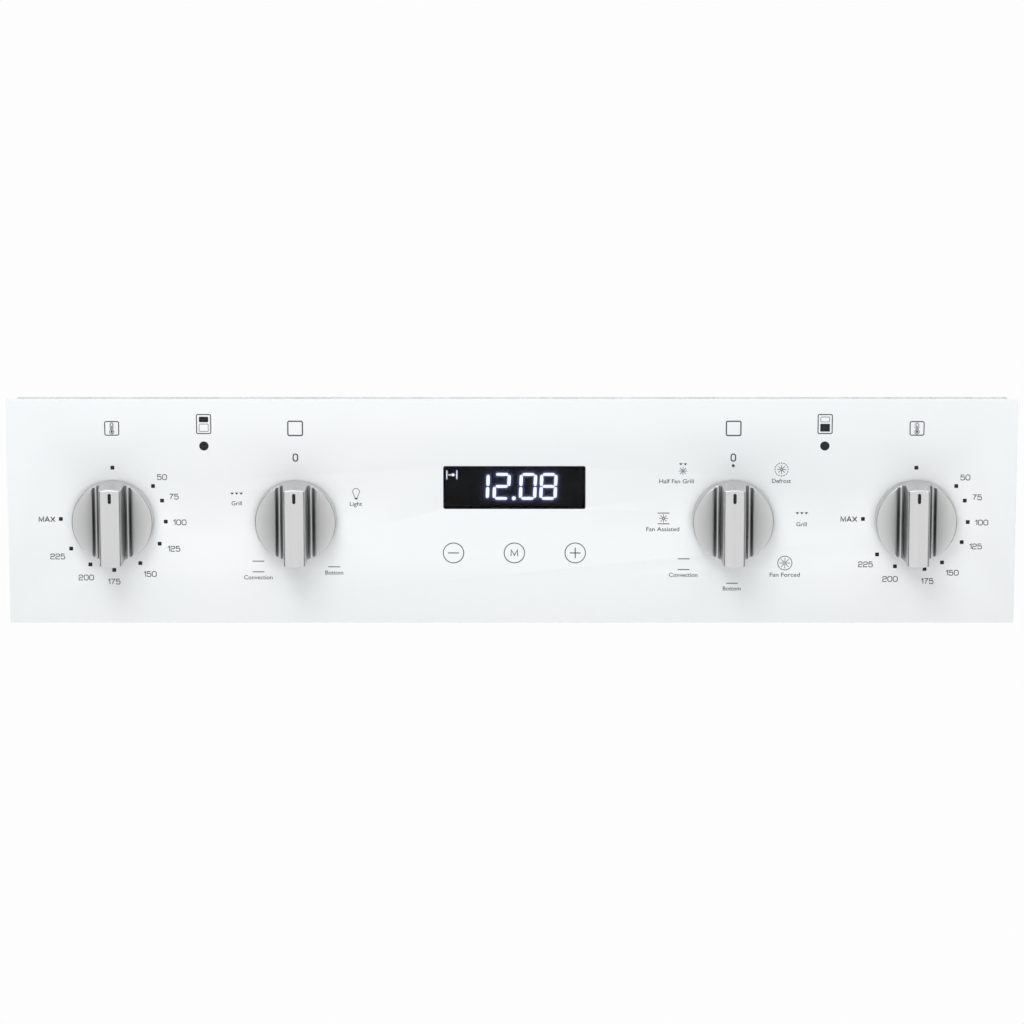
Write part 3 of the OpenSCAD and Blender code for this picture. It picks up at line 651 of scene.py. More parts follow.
# Bars set round a circle in the panel's plane, each with its length along the radius
def makeRingOfBars():
    tree, source, sink = newTree("ringOfBars", [
        ("Centre", "NodeSocketVector", (0, 0, 0)), ("Radius", "NodeSocketFloat", 0.002),
        ("Count", "NodeSocketInt", 8), ("Length", "NodeSocketFloat", 0.002),
        ("Width", "NodeSocketFloat", 0.0005), ("Thickness", "NodeSocketFloat", 0.00005),
        ("Material", "NodeSocketMaterial", None)])
    ring = gnode(tree, "GeometryNodeCurvePrimitiveCircle",
                 {"Radius": source.outputs["Radius"], "Resolution": source.outputs["Count"]})
    size = gnode(tree, "ShaderNodeCombineXYZ", {
        "X": source.outputs["Length"], "Y": source.outputs["Width"],
        "Z": source.outputs["Thickness"]})
    bar = gnode(tree, "GeometryNodeMeshCube", {"Size": size.outputs[0]})
    index = gnode(tree, "GeometryNodeInputIndex")
    step = gnode(tree, "ShaderNodeMath", operation="DIVIDE")
    step.inputs[0].default_value = math.tau
    tree.links.new(source.outputs["Count"], step.inputs[1])
    turn = gnode(tree, "ShaderNodeMath", operation="MULTIPLY")
    tree.links.new(index.outputs[0], turn.inputs[0])
    tree.links.new(step.outputs[0], turn.inputs[1])
    spin = gnode(tree, "ShaderNodeCombineXYZ", {"Z": turn.outputs[0]})
    placed = gnode(tree, "GeometryNodeInstanceOnPoints", {
        "Points": ring.outputs["Curve"], "Instance": bar.outputs["Mesh"],
        "Rotation": spin.outputs[0]})
    upright = gnode(tree, "GeometryNodeTransform", {
        "Geometry": placed.outputs[0], "Rotation": (math.pi / 2, 0, 0),
        "Translation": source.outputs["Centre"]})
    closeTree(tree, sink, upright.outputs[0], source.outputs["Material"])
    return tree


# Round tube of one thickness along a run of mesh edges
def makeTubeAlongPath():
    tree, source, sink = newTree("tubeAlongPath", [
        ("Geometry", "NodeSocketGeometry", None), ("Thickness", "NodeSocketFloat", 0.0015),
        ("Sides", "NodeSocketInt", 12), ("Material", "NodeSocketMaterial", None)])
    path = gnode(tree, "GeometryNodeMeshToCurve", {"Mesh": source.outputs["Geometry"]})
    half = gnode(tree, "ShaderNodeMath", operation="MULTIPLY")
    half.inputs[1].default_value = 0.5
    tree.links.new(source.outputs["Thickness"], half.inputs[0])
    section = gnode(tree, "GeometryNodeCurvePrimitiveCircle", {
        "Radius": half.outputs[0], "Resolution": source.outputs["Sides"]})
    swept = gnode(tree, "GeometryNodeCurveToMesh", {
        "Curve": path.outputs[0], "Profile Curve": section.outputs["Curve"],
        "Fill Caps": True})
    soft = gnode(tree, "GeometryNodeSetShadeSmooth", {"Geometry": swept.outputs[0]})
    closeTree(tree, sink, soft.outputs[0], source.outputs["Material"])
    return tree


# Copies of one small object on the points of a mesh, all the same way round
def makeCopiesOnPoints():
    tree, source, sink = newTree("copiesOnPoints", [
        ("Geometry", "NodeSocketGeometry", None), ("Pattern", "NodeSocketObject", None),
        ("Material", "NodeSocketMaterial", None)])
    pattern = gnode(tree, "GeometryNodeObjectInfo", {"Object": source.outputs["Pattern"]})
    placed = gnode(tree, "GeometryNodeInstanceOnPoints", {
        "Points": source.outputs["Geometry"], "Instance": pattern.outputs["Geometry"]})
    closeTree(tree, sink, placed.outputs[0], source.outputs["Material"])
    return tree


ringOfBars = makeRingOfBars()
tubeAlongPath = makeTubeAlongPath()
copiesOnPoints = makeCopiesOnPoints()


def runTree(name, tree, values, base=None):
    piece = newPiece(name, base or bpy.data.meshes.new(name))
    modifier = piece.modifiers.new("made", "NODES")
    modifier.node_group = tree
    for item in tree.interface.items_tree:
        if item.in_out == "INPUT" and item.name in values:
            modifier[item.identifier] = values[item.name]
    applyModifiers(piece)
    return piece


def joined(name, pieces):
    bm = bmesh.new()
    materials = []
    for piece in pieces:
        start = len(bm.faces)
        bm.from_mesh(piece.data)
        bm.faces.ensure_lookup_table()
        slots = list(piece.data.materials)
        for m in slots:
            if m not in materials:
                materials.append(m)
        for face in bm.faces[start:]:
            if slots:
                own = slots[min(face.material_index, len(slots) - 1)]
                face.material_index = materials.index(own)
    mesh = meshFromBmesh(name, bm)
    for piece in pieces:
        bpy.data.objects.remove(piece)
    return newPiece(name, mesh, *materials)


print("geometry trees built")


fascia = {
    "bevel": 0.35,                   # mm, ground edge of the glass
    "bevelSegments": 3,
    "windowW": 83.9,
    "windowH": 25.9,
    "windowR": 1.1,
    "windowRim": 0.65,               # mm round the window that its ground edge stays within
    "holeR": 20.0,
    "holeSteps": 96,
}


def roundedLoop(cx, cz, w, h, r, steps=6):
    points = []
    corners = ((1, 1, 0), (-1, 1, 90), (-1, -1, 180), (1, -1, 270))
    for sx, sz, start in corners:
        for i in range(steps + 1):
            a = math.radians(start + 90 * i / steps)
            points.append((cx + sx * (w / 2 - r) + r * math.cos(a),
                           cz + sz * (h / 2 - r) + r * math.sin(a)))
    return points


def circleLoop(cx, cz, r, steps):
    return [(cx + r * math.cos(math.tau * i / steps), cz + r * math.sin(math.tau * i / steps))
            for i in range(steps)]


outlineMerge = 0.001                 # mm
outlineFlat = 0.1                    # degrees


# A flat plate in the panel's plane with holes, from its outlines in metres
def plate(name, outer, holes, front, back, bevel=0):
    curve = bpy.data.curves.new(name, "CURVE")
    curve.dimensions = "2D"
    curve.fill_mode = "BOTH"
    curve.extrude = (back - front) / 2
    for loop in [outer] + holes:
        spline = curve.splines.new("POLY")
        spline.points.add(len(loop) - 1)
        for point, (x, z) in zip(spline.points, loop):
            point.co = (x, z, 0, 1)
        spline.use_cyclic_u = True
    mesh = meshOfCurve(curve)
    mesh.transform(Matrix.Translation((0, (front + back) / 2, 0))
                   @ Matrix.Rotation(math.pi / 2, 4, "X"))
    bm = bmesh.new()
    bm.from_mesh(mesh)
    bmesh.ops.remove_doubles(bm, verts=bm.verts, dist=outlineMerge * mm)
    bmesh.ops.dissolve_limit(bm, angle_limit=math.radians(outlineFlat), verts=bm.verts,
                             edges=bm.edges)
    bmesh.ops.recalc_face_normals(bm, faces=bm.faces)
    bpy.data.meshes.remove(mesh)
    made = newPiece(name, meshFromBmesh(name, bm))
    if bevel:
        edges = made.modifiers.new("edges", "BEVEL")
        edges.width = bevel * mm
        edges.segments = fascia["bevelSegments"]
        edges.limit_method = "ANGLE"
        edges.angle_limit = math.radians(60)
        applyModifiers(made)
    smoothByAngle(made.data, 40)
    return made


def makeFascia():
    size = fascia
    x, z = glassHigh.x, glassHigh.z
    outer = [(-x, -z), (x, -z), (x, z), (-x, z)]
    window = roundedLoop(layoutX, displayZ, size["windowW"] * mm, size["windowH"] * mm,
                         size["windowR"] * mm)
    holes = [window]
    for c in controls:
        holes.append(circleLoop(axisOf[c].x, axisOf[c].z, size["holeR"] * mm,
                                size["holeSteps"]))
    glass = plate("fasciaGlass", outer, holes, glassFront, glassBack, size["bevel"])
    for material in (whiteGlass, glassEdge, blackPrint):
        glass.data.materials.append(material)
    nearX = (size["windowW"] / 2 + size["windowRim"]) * mm
    nearZ = (size["windowH"] / 2 + size["windowRim"]) * mm
    for face in glass.data.polygons:
        at = face.center
        nearWindow = abs(at.x - layoutX) < nearX and abs(at.z - displayZ) < nearZ
        if abs(face.normal.y) < 0.9 and nearWindow:
            face.material_index = 2
        elif abs(face.normal.y) < 0.3:
            face.material_index = 1
        else:
            face.material_index = 0
    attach(glass, "panel")
    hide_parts("fascia_glass")
    pane = plate("windowPane", window, [], glassFront, glassBack)
    pane.data.materials.append(windowGlass)
    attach(pane, "panel")


makeFascia()
print("fascia built")


printing = {
    "thickness": 0.04,               # mm that the ink stands off the glass
    "legend": 2.6,
    "legendBold": 0.007,
    "numeral": 3.5,
    "numeralLine": 0.48,
    "maxLine": 0.58,
    "zero": 4.85,
    "zeroLine": 0.72,
    "zeroStretch": 0.78,
    "zeroUp": 37.1,                  # mm above the control's axis, as the two below
    "dotUp": 32.2,
    "dotR": 0.9,
    "capHeight": 0.729,              # of the lettering's capitals at size 1
    "roundSteps": 64,
}
inkFront = glassFront - printing["thickness"] * mm
inkMiddle = glassFront - printing["thickness"] * mm / 2


# Lettering of a wanted cap height and width, centred on a place in the panel's plane
def lettering(words, x, z, height, width):
    curve = bpy.data.curves.new(words, "FONT")
    curve.body = words
    curve.size = 1.0
    curve.resolution_u = 4
    curve.offset = printing["legendBold"]
    curve.fill_mode = "FRONT"
    mesh = meshOfCurve(curve)
    xs = [v.co.x for v in mesh.vertices]
    scaleZ = height * mm / printing["capHeight"]
    scaleX = width * mm / (max(xs) - min(xs))
    place = (Matrix.Translation((x - scaleX * (max(xs) + min(xs)) / 2, inkFront,
                                 z - height * mm / 2))
             @ Matrix.Rotation(math.pi / 2, 4, "X")
             @ Matrix.Diagonal((scaleX, scaleZ, 1, 1)))
    mesh.transform(place)
    return newPiece("legend", mesh, greyPrint)


# Outline of a line of one thickness along a run of points; a run that ends at its start closes
def ribbonLoops(run, line):
    half = line / 2 * mm
    closed = run[0] == run[-1]
    points = [Vector(p) for p in (run[:-1] if closed else run)]
    count = len(points)
    left, right = [], []
    for i, point in enumerate(points):
        before = points[i - 1] if closed or i else None
        after = points[(i + 1) % count] if closed or i < count - 1 else None
        ins = (point - before).normalized() if before is not None else None
        outs = (after - point).normalized() if after is not None else None
        along = ((ins or outs) + (outs or ins)).normalized()
        across = Vector((-along.y, along.x))
        reach = half / max(0.45, abs(along.dot(ins or outs)))
        left.append(tuple(point + across * reach))
        right.append(tuple(point - across * reach))
    return [left, right] if closed else [left + right[::-1]]


# Line drawing from runs of (x, z) in metres
def lineWork(runs, line):
    parts = []
    for run in runs:
        loops = ribbonLoops(run, line)
        parts.append(plate("lineWork", loops[0], loops[1:], inkFront, glassFront))
        parts[-1].data.materials.append(greyPrint)
    return joined("lineWork", parts)


cornerSteps = 5


# Rounds the corners of a run that are marked with a radius
def softRun(points):
    run = []
    for i, point in enumerate(points):
        if len(point) == 2 or i in (0, len(points) - 1):
            run.append(tuple(point[:2]))
            continue
        here = Vector(point[:2])
        before = Vector(points[i - 1][:2])
        after = Vector(points[i + 1][:2])
        a = here + (before - here).normalized() * point[2]
        b = here + (after - here).normalized() * point[2]
        for k in range(cornerSteps + 1):
            t = k / cornerSteps
            run.append(tuple(a * (1 - t) ** 2 + here * 2 * t * (1 - t) + b * t * t))
    return run


def ovalRun(w, r):
    # Closed upright loop with rounded corners, one unit tall
    points = roundedLoop(w / 2, 0.5, w, 1.0, r, cornerSteps)
    return points + points[:1]


# Strokes of each character in a cell one unit tall, and the cell's width
glyphs = {
    "0": (0.80, [ovalRun(0.80, 0.30)]),
    "1": (0.36, [[(0.0, 0.74), (0.34, 1.0), (0.34, 0.0)]]),
    "2": (0.74, [softRun([(0.0, 0.70), (0.02, 1.0, 0.24), (0.74, 1.0, 0.26), (0.74, 0.53, 0.2),
                          (0.0, 0.50, 0.24), (0.0, 0.0), (0.76, 0.0)])]),
    "5": (0.74, [softRun([(0.70, 1.0), (0.08, 1.0), (0.03, 0.58), (0.74, 0.66, 0.26),
                          (0.74, 0.0, 0.28), (0.0, 0.0, 0.24), (0.0, 0.24)])]),
    "7": (0.70, [softRun([(0.0, 1.0), (0.70, 1.0), (0.32, 0.50, 0.2), (0.24, 0.0)])]),
    "A": (0.90, [[(0.0, 0.0), (0.45, 1.0), (0.90, 0.0)], [(0.17, 0.31), (0.73, 0.31)]]),
    "M": (0.94, [[(0.0, 0.0), (0.03, 1.0), (0.47, 0.12), (0.91, 1.0), (0.94, 0.0)]]),
    "X": (0.84, [[(0.0, 1.0), (0.84, 0.0)], [(0.0, 0.0), (0.84, 1.0)]]),
}
glyphGap = 0.26


def numeral(words, x, z, height, line, stretch=1.0):
    width = sum(glyphs[c][0] for c in words) + glyphGap * (len(words) - 1)
    scaleX = (height - line) * mm * stretch
    scaleZ = (height - line) * mm
    start = x - width * scaleX / 2
    runs = []
    for c in words:
        for run in glyphs[c][1]:
            runs.append([(start + px * scaleX, z + (pz - 0.5) * scaleZ) for px, pz in run])
        start += (glyphs[c][0] + glyphGap) * scaleX
    return lineWork(runs, line)


def bar(x, z, w, h):
    bm = bmesh.new()
    bmesh.ops.create_cube(bm, size=1)
    shape = (Matrix.Translation((x, inkMiddle, z))
             @ Matrix.Diagonal((w * mm, printing["thickness"] * mm, h * mm, 1)))
    bmesh.ops.transform(bm, matrix=shape, verts=bm.verts)
    return newPiece("bar", meshFromBmesh("bar", bm), greyPrint)


def flatShape(loops, material=None):
    # Outline in metres, in the panel's plane; later loops are holes
    piece = plate("shape", loops[0], loops[1:], inkFront, glassFront)
    piece.data.materials.append(material or greyPrint)
    return piece


def ringShape(x, z, r, line):
    steps = printing["roundSteps"]
    return flatShape([circleLoop(x, z, r * mm, steps), circleLoop(x, z, (r - line) * mm, steps)])


def frameShape(x, z, w, h, r, line):
    sharpest = 0.2
    innerR = max(r - line, sharpest)
    inner = roundedLoop(x, z, (w - 2 * line) * mm, (h - 2 * line) * mm, innerR * mm)
    return flatShape([roundedLoop(x, z, w * mm, h * mm, r * mm), inner])


grillFlames = {"w": 2.05, "h": 1.25, "pitch": 2.65}


def triangles(x, z, count):
    w, h = grillFlames["w"], grillFlames["h"]
    made = []
    for i in range(count):
        cx = x + (i - (count - 1) / 2) * grillFlames["pitch"] * mm
        made.append(flatShape([[(cx - w / 2 * mm, z + h / 2 * mm), (cx, z - h / 2 * mm),
                                (cx + w / 2 * mm, z + h / 2 * mm)]], blackPrint))
    return made


# A fan's rays from their middle radius and length as parts of its size, and its ring of dots
fanStar = {"rays": 8, "middle": 0.56, "length": 0.88, "width": 0.36}
frostDots = {"count": 16, "length": 0.5, "width": 0.85}


def star(x, z, r=2.5):
    size = fanStar
    return runTree("star", ringOfBars, {
        "Centre": (x, inkMiddle, z), "Radius": r * size["middle"] * mm, "Count": size["rays"],
        "Length": r * size["length"] * mm, "Width": size["width"] * mm,
        "Thickness": printing["thickness"] * mm, "Material": greyPrint})


def dottedCircle(x, z, r):
    size = frostDots
    return runTree("dots", ringOfBars, {
        "Centre": (x, inkMiddle, z), "Radius": r * mm, "Count": size["count"],
        "Length": size["length"] * mm, "Width": size["width"] * mm,
        "Thickness": printing["thickness"] * mm, "Material": greyPrint})


# Bulb with a round top that narrows to its cap
bulbIcon = {
    "r": 2.0,
    "from": -35,                     # degrees round the top, then how far it goes on
    "sweep": 250,
    "steps": 20,
    "neck": 0.6,
    "top": 3.4,
    "foot": -2.6,
    "line": 0.34,
    "capW": 1.5,
    "capH": 1.0,
    "capR": 0.4,
    "capDown": 0.2,
}


def bulb(x, z):
    size = bulbIcon
    run = []
    centre = size["top"] - size["r"]
    for i in range(size["steps"] + 1):
        a = math.radians(size["from"] + size["sweep"] * i / size["steps"])
        run.append((size["r"] * math.cos(a), centre + size["r"] * math.sin(a)))
    run = [(size["neck"], size["foot"])] + run + [(-size["neck"], size["foot"])]
    placed = [(x + px * mm, z + pz * mm) for px, pz in run]
    capZ = z + (size["foot"] - size["capDown"]) * mm
    cap = flatShape([roundedLoop(x, capZ, size["capW"] * mm, size["capH"] * mm,
                                 size["capR"] * mm)], blackPrint)
    return [lineWork([placed], size["line"]), cap]


symbols = {
    "flamesUp": 2.4,                 # half grill: its flames above its star
    "starDown": 1.6,
    "heatLong": 7.0,
    "heatLine": 0.5,
    "heatApart": 3.25,               # mm of each heating line from the middle
    "fanRing": 4.4,
    "fanLine": 0.42,
    "fanStar": 3.2,
    "frostRing": 3.9,
    "frostStar": 2.6,
}


def heatLine(x, z):
    return bar(x, z, symbols["heatLong"], symbols["heatLine"])


def symbolAt(kind, x, z):
    size = symbols
    if kind == "grill":
        return triangles(x, z, 3)
    if kind == "halfGrill":
        return triangles(x, z + size["flamesUp"] * mm, 2) + [star(x, z - size["starDown"] * mm)]
    if kind == "bottom":
        return [heatLine(x, z)]
    if kind == "lines":
        return [heatLine(x, z + size["heatApart"] * mm), heatLine(x, z - size["heatApart"] * mm)]
    if kind == "linesFan":
        return symbolAt("lines", x, z) + [star(x, z)]
    if kind == "fan":
        return [ringShape(x, z, size["fanRing"], size["fanLine"]), star(x, z, size["fanStar"])]
    if kind == "defrost":
        return [dottedCircle(x, z, size["frostRing"]), star(x, z, size["frostStar"])]
    return bulb(x, z)


# Legends of the two function controls, as offsets in millimetres from the control's axis
functionLegends = {
    "upper_function": [
        ("Grill", 6.1, -34.9, 9.6, "grill", -34.9, 15.3),
        ("Light", 7.3, 35.5, 9.2, "bulb", 35.6, 15.1),
        ("Bottom", 10.6, 22.4, -32.5, "bottom", 22.4, -29.1),
        ("Convection", 16.9, -22.6, -35.4, "lines", -22.5, -28.9),
    ],
    "main_function": [
        ("Half Fan Grill", 20.3, -33.4, 22.9, "halfGrill", -29.6, 30.6),
        ("Defrost", 11.2, 28.5, 23.1, "defrost", 28.5, 29.9),
        ("Grill", 6.1, 40.7, -3.1, "grill", 40.8, 3.4),
        ("Fan Forced", 17.8, 31.1, -33.8, "fan", 31.1, -26.8),
        ("Bottom", 10.6, -0.2, -42.2, "bottom", -0.1, -39.1),
        ("Convection", 16.9, -29.0, -33.9, "lines", -28.8, -27.5),
        ("Fan Assisted", 19.5, -41.3, -6.1, "linesFan", -40.9, 0.3),
    ],
}

# Scales of the two temperature controls: number, its place, then the mark's angle
temperatureScale = {
    "upper_temperature": [
        ("50", 29.1, 25.3, 50), ("75", 36.0, 13.5, 69), ("100", 39.2, -2.1, 93),
        ("125", 35.5, -18.1, 119), ("150", 21.2, -33.5, 150), ("175", -0.2, -38.1, 180),
        ("200", -16.6, -35.6, 207), ("225", -33.3, -22.8, 234.5), ("MAX", -39.2, -0.2, 270),
    ],
    "main_temperature": [
        ("50", 29.0, 25.1, 50), ("75", 36.2, 13.1, 69), ("100", 39.1, -2.2, 93.5),
        ("125", 35.8, -16.7, 117), ("150", 22.3, -32.7, 148.5), ("175", 7.6, -37.8, 169),
        ("200", -14.4, -36.5, 202), ("225", -29.1, -27.6, 226), ("MAX", -39.3, -0.1, 270),
    ],
}
scaleMark = {"radius": 31.0, "size": 2.3, "corner": 0.4}


def printFunctionLegends():
    made = []
    for control, rows in functionLegends.items():
        centre = axisOf[control]
        for words, width, tx, tz, kind, sx, sz in rows:
            made.append(lettering(words, centre.x + tx * mm, centre.z + tz * mm,
                                  printing["legend"], width))
            made += symbolAt(kind, centre.x + sx * mm, centre.z + sz * mm)
        made.append(numeral("0", centre.x, centre.z + printing["zeroUp"] * mm, printing["zero"],
                            printing["zeroLine"], printing["zeroStretch"]))
    dot = axisOf["main_function"]
    made.append(flatShape([circleLoop(dot.x, dot.z + printing["dotUp"] * mm,
                                      printing["dotR"] * mm, 24)]))
    piece = joined("functionLegends", made)
    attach(piece, "panel")


def printTemperatureScales():
    size = scaleMark
    made = []
    mark = plate("mark", roundedLoop(0, 0, size["size"] * mm, size["size"] * mm,
                                     size["corner"] * mm, 3),
                 [], inkFront - inkMiddle, glassFront - inkMiddle)
    points = []
    for control, rows in temperatureScale.items():
        centre = axisOf[control]
        for words, tx, tz, angle in rows:
            line = printing["maxLine" if words == "MAX" else "numeralLine"]
            made.append(numeral(words, centre.x + tx * mm, centre.z + tz * mm,
                                printing["numeral"], line))
        for angle in [0] + [row[3] for row in rows]:
            a = math.radians(angle)
            points.append((centre.x + size["radius"] * mm * math.sin(a), inkMiddle,
                           centre.z + size["radius"] * mm * math.cos(a)))
    cloud = bpy.data.meshes.new("markPlaces")
    cloud.from_pydata(points, [], [])
    marks = runTree("scaleMarks", copiesOnPoints, {"Pattern": mark, "Material": blackPrint},
                    base=cloud)
    bpy.data.objects.remove(mark)
    piece = joined("temperatureScales", made + [marks])
    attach(piece, "panel")


headIcons = {"z": 54.7, "size": 9.3, "line": 0.75, "corner": 1.2}
thermometer = {
    "tube": 0.62,
    "bulb": 1.3,
    "top": 3.3,
    "foot": -2.1,
    "line": 0.4,
    "frame": 8.8,
    "frameLine": 0.6,
    "column": (-0.3, 0.4, 3.6),      # middle, width and height of the fluid in the tube
    "pool": 0.7,                     # radius of the fluid in the bulb
    "marks": 3,
    "markOut": 1.3,
    "markTop": 2.5,
    "markPitch": 1.1,
    "mark": (0.5, 0.3),
}


def thermometerRun(x, z):
    size = thermometer
    run = []
    opening = math.degrees(math.asin(size["tube"] / size["bulb"]))
    for i in range(17):
        a = math.radians(90 + opening + (360 - 2 * opening) * i / 16)
        run.append((size["bulb"] * math.cos(a), size["foot"] + size["bulb"] * math.sin(a)))
    for i in range(9):
        a = math.radians(180 * i / 8)
        run.append((size["tube"] * math.cos(a), size["top"] - size["tube"]
                    + size["tube"] * math.sin(a)))
    run.append(run[0])
    return [(x + px * mm, z + pz * mm) for px, pz in run]


def printHeadIcons():
    size, gauge = headIcons, thermometer
    made = []
    z = axisOf["main_function"].z + size["z"] * mm
    for control in ("upper_function", "main_function"):
        made.append(frameShape(axisOf[control].x, z, size["size"], size["size"],
                               size["corner"], size["line"]))
    for control in ("upper_temperature", "main_temperature"):
        x = axisOf[control].x
        made.append(frameShape(x, z, gauge["frame"], gauge["frame"], size["corner"],
                               gauge["frameLine"]))
        made.append(lineWork([thermometerRun(x, z)], gauge["line"]))
        dz, w, h = gauge["column"]
        made.append(bar(x, z + dz * mm, w, h))
        made.append(flatShape([circleLoop(x, z + gauge["foot"] * mm, gauge["pool"] * mm, 20)]))
        for side in (-1, 1):
            for i in range(gauge["marks"]):
                up = gauge["markTop"] - gauge["markPitch"] * i
                made.append(bar(x + side * gauge["markOut"] * mm, z + up * mm, *gauge["mark"]))
    piece = joined("headIcons", made)
    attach(piece, "panel")


lampIcon = {
    "w": 8.9,
    "h": 12.0,
    "z": 57.3,
    "corner": 1.0,
    "line": 0.6,
    "fullR": 0.4,                    # corners of the dark oven
    "openR": 0.5,                    # corners and line of the pale one
    "openLine": 0.32,
    "spotUp": 0.9,                   # dark spot in front of the lamp
    "spotR": 2.75,
    "spotSteps": 48,
}
ovenShapes = {"upper": (2.75, 5.5, 3.3), "main": (-2.2, 5.7, 4.7)}     # middle, width, height


def printLampIcons():
    size = lampIcon
    made = []
    z = axisOf["main_function"].z + size["z"] * mm
    for oven in ("upper", "main"):
        lamp = middle(oven + "_pilot_lamp")
        made.append(frameShape(lamp.x, z, size["w"], size["h"], size["corner"], size["line"]))
        for name, (dz, w, h) in ovenShapes.items():
            if name == oven:
                made.append(flatShape([roundedLoop(lamp.x, z + dz * mm, w * mm, h * mm,
                                                   size["fullR"] * mm)], blackPrint))
            else:
                made.append(frameShape(lamp.x, z + dz * mm, w, h, size["openR"],
                                       size["openLine"]))
        made.append(flatShape([circleLoop(lamp.x, lamp.z + size["spotUp"] * mm,
                                          size["spotR"] * mm, size["spotSteps"])], blackPrint))
    piece = joined("lampIcons", made)
    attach(piece, "panel")


touchKeys = {
    "z": -24.85,
    "pitch": 36.0,
    "r": 6.3,
    "line": 0.52,
    "letter": (4.3, 0.55, 1.12),     # height, line and stretch
    "signLong": 6.4,
    "signLine": 0.6,
}


def printTouchKeys():
    size = touchKeys
    made = []
    z = size["z"] * mm
    for i, words in ((-1, "minus"), (0, "M"), (1, "plus")):
        x = layoutX + i * size["pitch"] * mm
        made.append(ringShape(x, z, size["r"], size["line"]))
        if words == "M":
            made.append(numeral("M", x, z, *size["letter"]))
        else:
            made.append(bar(x, z, size["signLong"], size["signLine"]))
        if words == "plus":
            made.append(bar(x, z, size["signLine"], size["signLong"]))
    piece = joined("touchKeys", made)
    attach(piece, "panel")


printFunctionLegends()
printTemperatureScales()
printHeadIcons()
printLampIcons()
printTouchKeys()
print("printing done")


display = {
    "places": (("1", -18.5), ("2", -6.1), ("0", 9.45), ("8", 21.5)),   # mm from the middle
    "z": 14.5,
    "height": 16.1,
    "width": 10.2,
    "upright": 1.8,
    "level": 1.6,
    "gap": 0.55,                     # mm between the tips of two segments
    "levelShort": 0.35,              # mm more at both ends of a level segment
    "lean": 2.5,                     # degrees
    "dot": (1.1, 7.3, 1.15),         # x, z and radius in mm
    "swell": 0.12,                   # mm that a segment widens at its middle
    "faceIn": 0.25,                  # mm that the lit face lies behind the module's front
    "raised": 0.08,
    "timer": (-35.55, 21.5),
    "glowReach": 1.3,                # mm
    "glowNear": (0.5, 1.6),          # strength and fall of the glow beside a segment
    "glowTail": (0.07, 0.8),         # and of the faint one further out
    "cells": (156, 46),
}
# Sign of an arrow between two bars, in mm from its middle
timerSign = {
    "barOut": 2.95,
    "barHalf": 2.4,
    "barR": 0.33,
    "shaft": (-2.0, 0.6, 0.27),      # both ends and radius
    "head": (0.3, 2.1, 1.2),         # foot, tip and half height
}
segmentsOf = {"1": "bc", "2": "abged", "0": "abcdef", "8": "abcdefg"}
segmentStands = {                    # ends as parts of the digit's half width and half height
    "a": ((-1, 1), (1, 1)), "b": ((1, 1), (1, 0)), "c": ((1, 0), (1, -1)),
    "d": ((-1, -1), (1, -1)), "e": ((-1, 0), (-1, -1)), "f": ((-1, 1), (-1, 0)),
    "g": ((-1, 0), (1, 0)),
}


# Each lit segment as its two round ends and its radius, in metres
def litSegments():
    size = display
    halfX = (size["width"] - size["upright"]) / 2
    halfZ = (size["height"] - size["level"]) / 2
    lean = math.tan(math.radians(size["lean"]))
    lines = []
    for digit, x in size["places"]:
        for letter in segmentsOf[digit]:
            level = letter in "agd"
            radius = size["level" if level else "upright"] / 2
            ends = [Vector((px * halfX, pz * halfZ)) for px, pz in segmentStands[letter]]
            along = (ends[1] - ends[0]).normalized()
            short = radius + size["gap"] / 2 + (size["levelShort"] if level else 0.0)
            a, b = ends[0] + along * short, ends[1] - along * short
            lines.append([((x + p.x + p.y * lean) * mm, (size["z"] + p.y) * mm)
                          for p in (a, b)] + [radius * mm])
    return lines


# Flat bar with full round ends that swells a little towards its middle
def capsule(a, b, r, front, back, steps=8, swell=0.0):
    a, b = Vector(a), Vector(b)
    d = (b - a).normalized()
    start = math.atan2(d.y, d.x)
    loop = []
    for end, base in ((b, start - math.pi / 2), (a, start + math.pi / 2)):
        for i in range(steps + 1):
            t = base + math.pi * i / steps
            loop.append((end.x + r * math.cos(t), end.y + r * math.sin(t)))
        if swell:
            side = Vector((math.cos(base + math.pi), math.sin(base + math.pi)))
            for k in (-0.5, 0.0, 0.5):
                p = (a + b) / 2 + (k * (b - a) if end is a else -k * (b - a))
                p += side * (r + swell * (1 - abs(k)))
                loop.append((p.x, p.y))
    return plate("segment", loop, [], front, back)


def makeTimerIcon(front, back):
    size = timerSign
    x, z = (v * mm for v in display["timer"])
    half = size["barHalf"] * mm
    parts = []
    for side in (-1, 1):
        barX = x + side * size["barOut"] * mm
        parts.append(capsule((barX, z - half), (barX, z + half), size["barR"] * mm, front, back))
    first, last, r = size["shaft"]
    parts.append(capsule((x + first * mm, z), (x + last * mm, z), r * mm, front, back))
    foot, tip, headHalf = size["head"]
    parts.append(plate("arrow", [(x + foot * mm, z - headHalf * mm), (x + tip * mm, z),
                                 (x + foot * mm, z + headHalf * mm)], [], front, back))
    return parts


def makeDisplay():
    size = display
    low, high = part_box("led_display")
    faceY = low.y + size["faceIn"] * mm
    raised = faceY - size["raised"] * mm
    lines = litSegments()
    dotX, dotZ, dotR = (v * mm for v in size["dot"])
    parts = [capsule(a, b, r, raised, faceY, swell=size["swell"] * mm) for a, b, r in lines]
    parts.append(plate("dot", circleLoop(dotX, dotZ, dotR, 24), [], raised, faceY))
    parts += makeTimerIcon(raised, faceY)
    for part in parts:
        part.data.materials.append(segmentLight)
    lit = joined("litSegments", parts)
    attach(lit, "panel")
    makeModule(low, high, faceY, lines + [[(dotX, dotZ), (dotX, dotZ), dotR]])


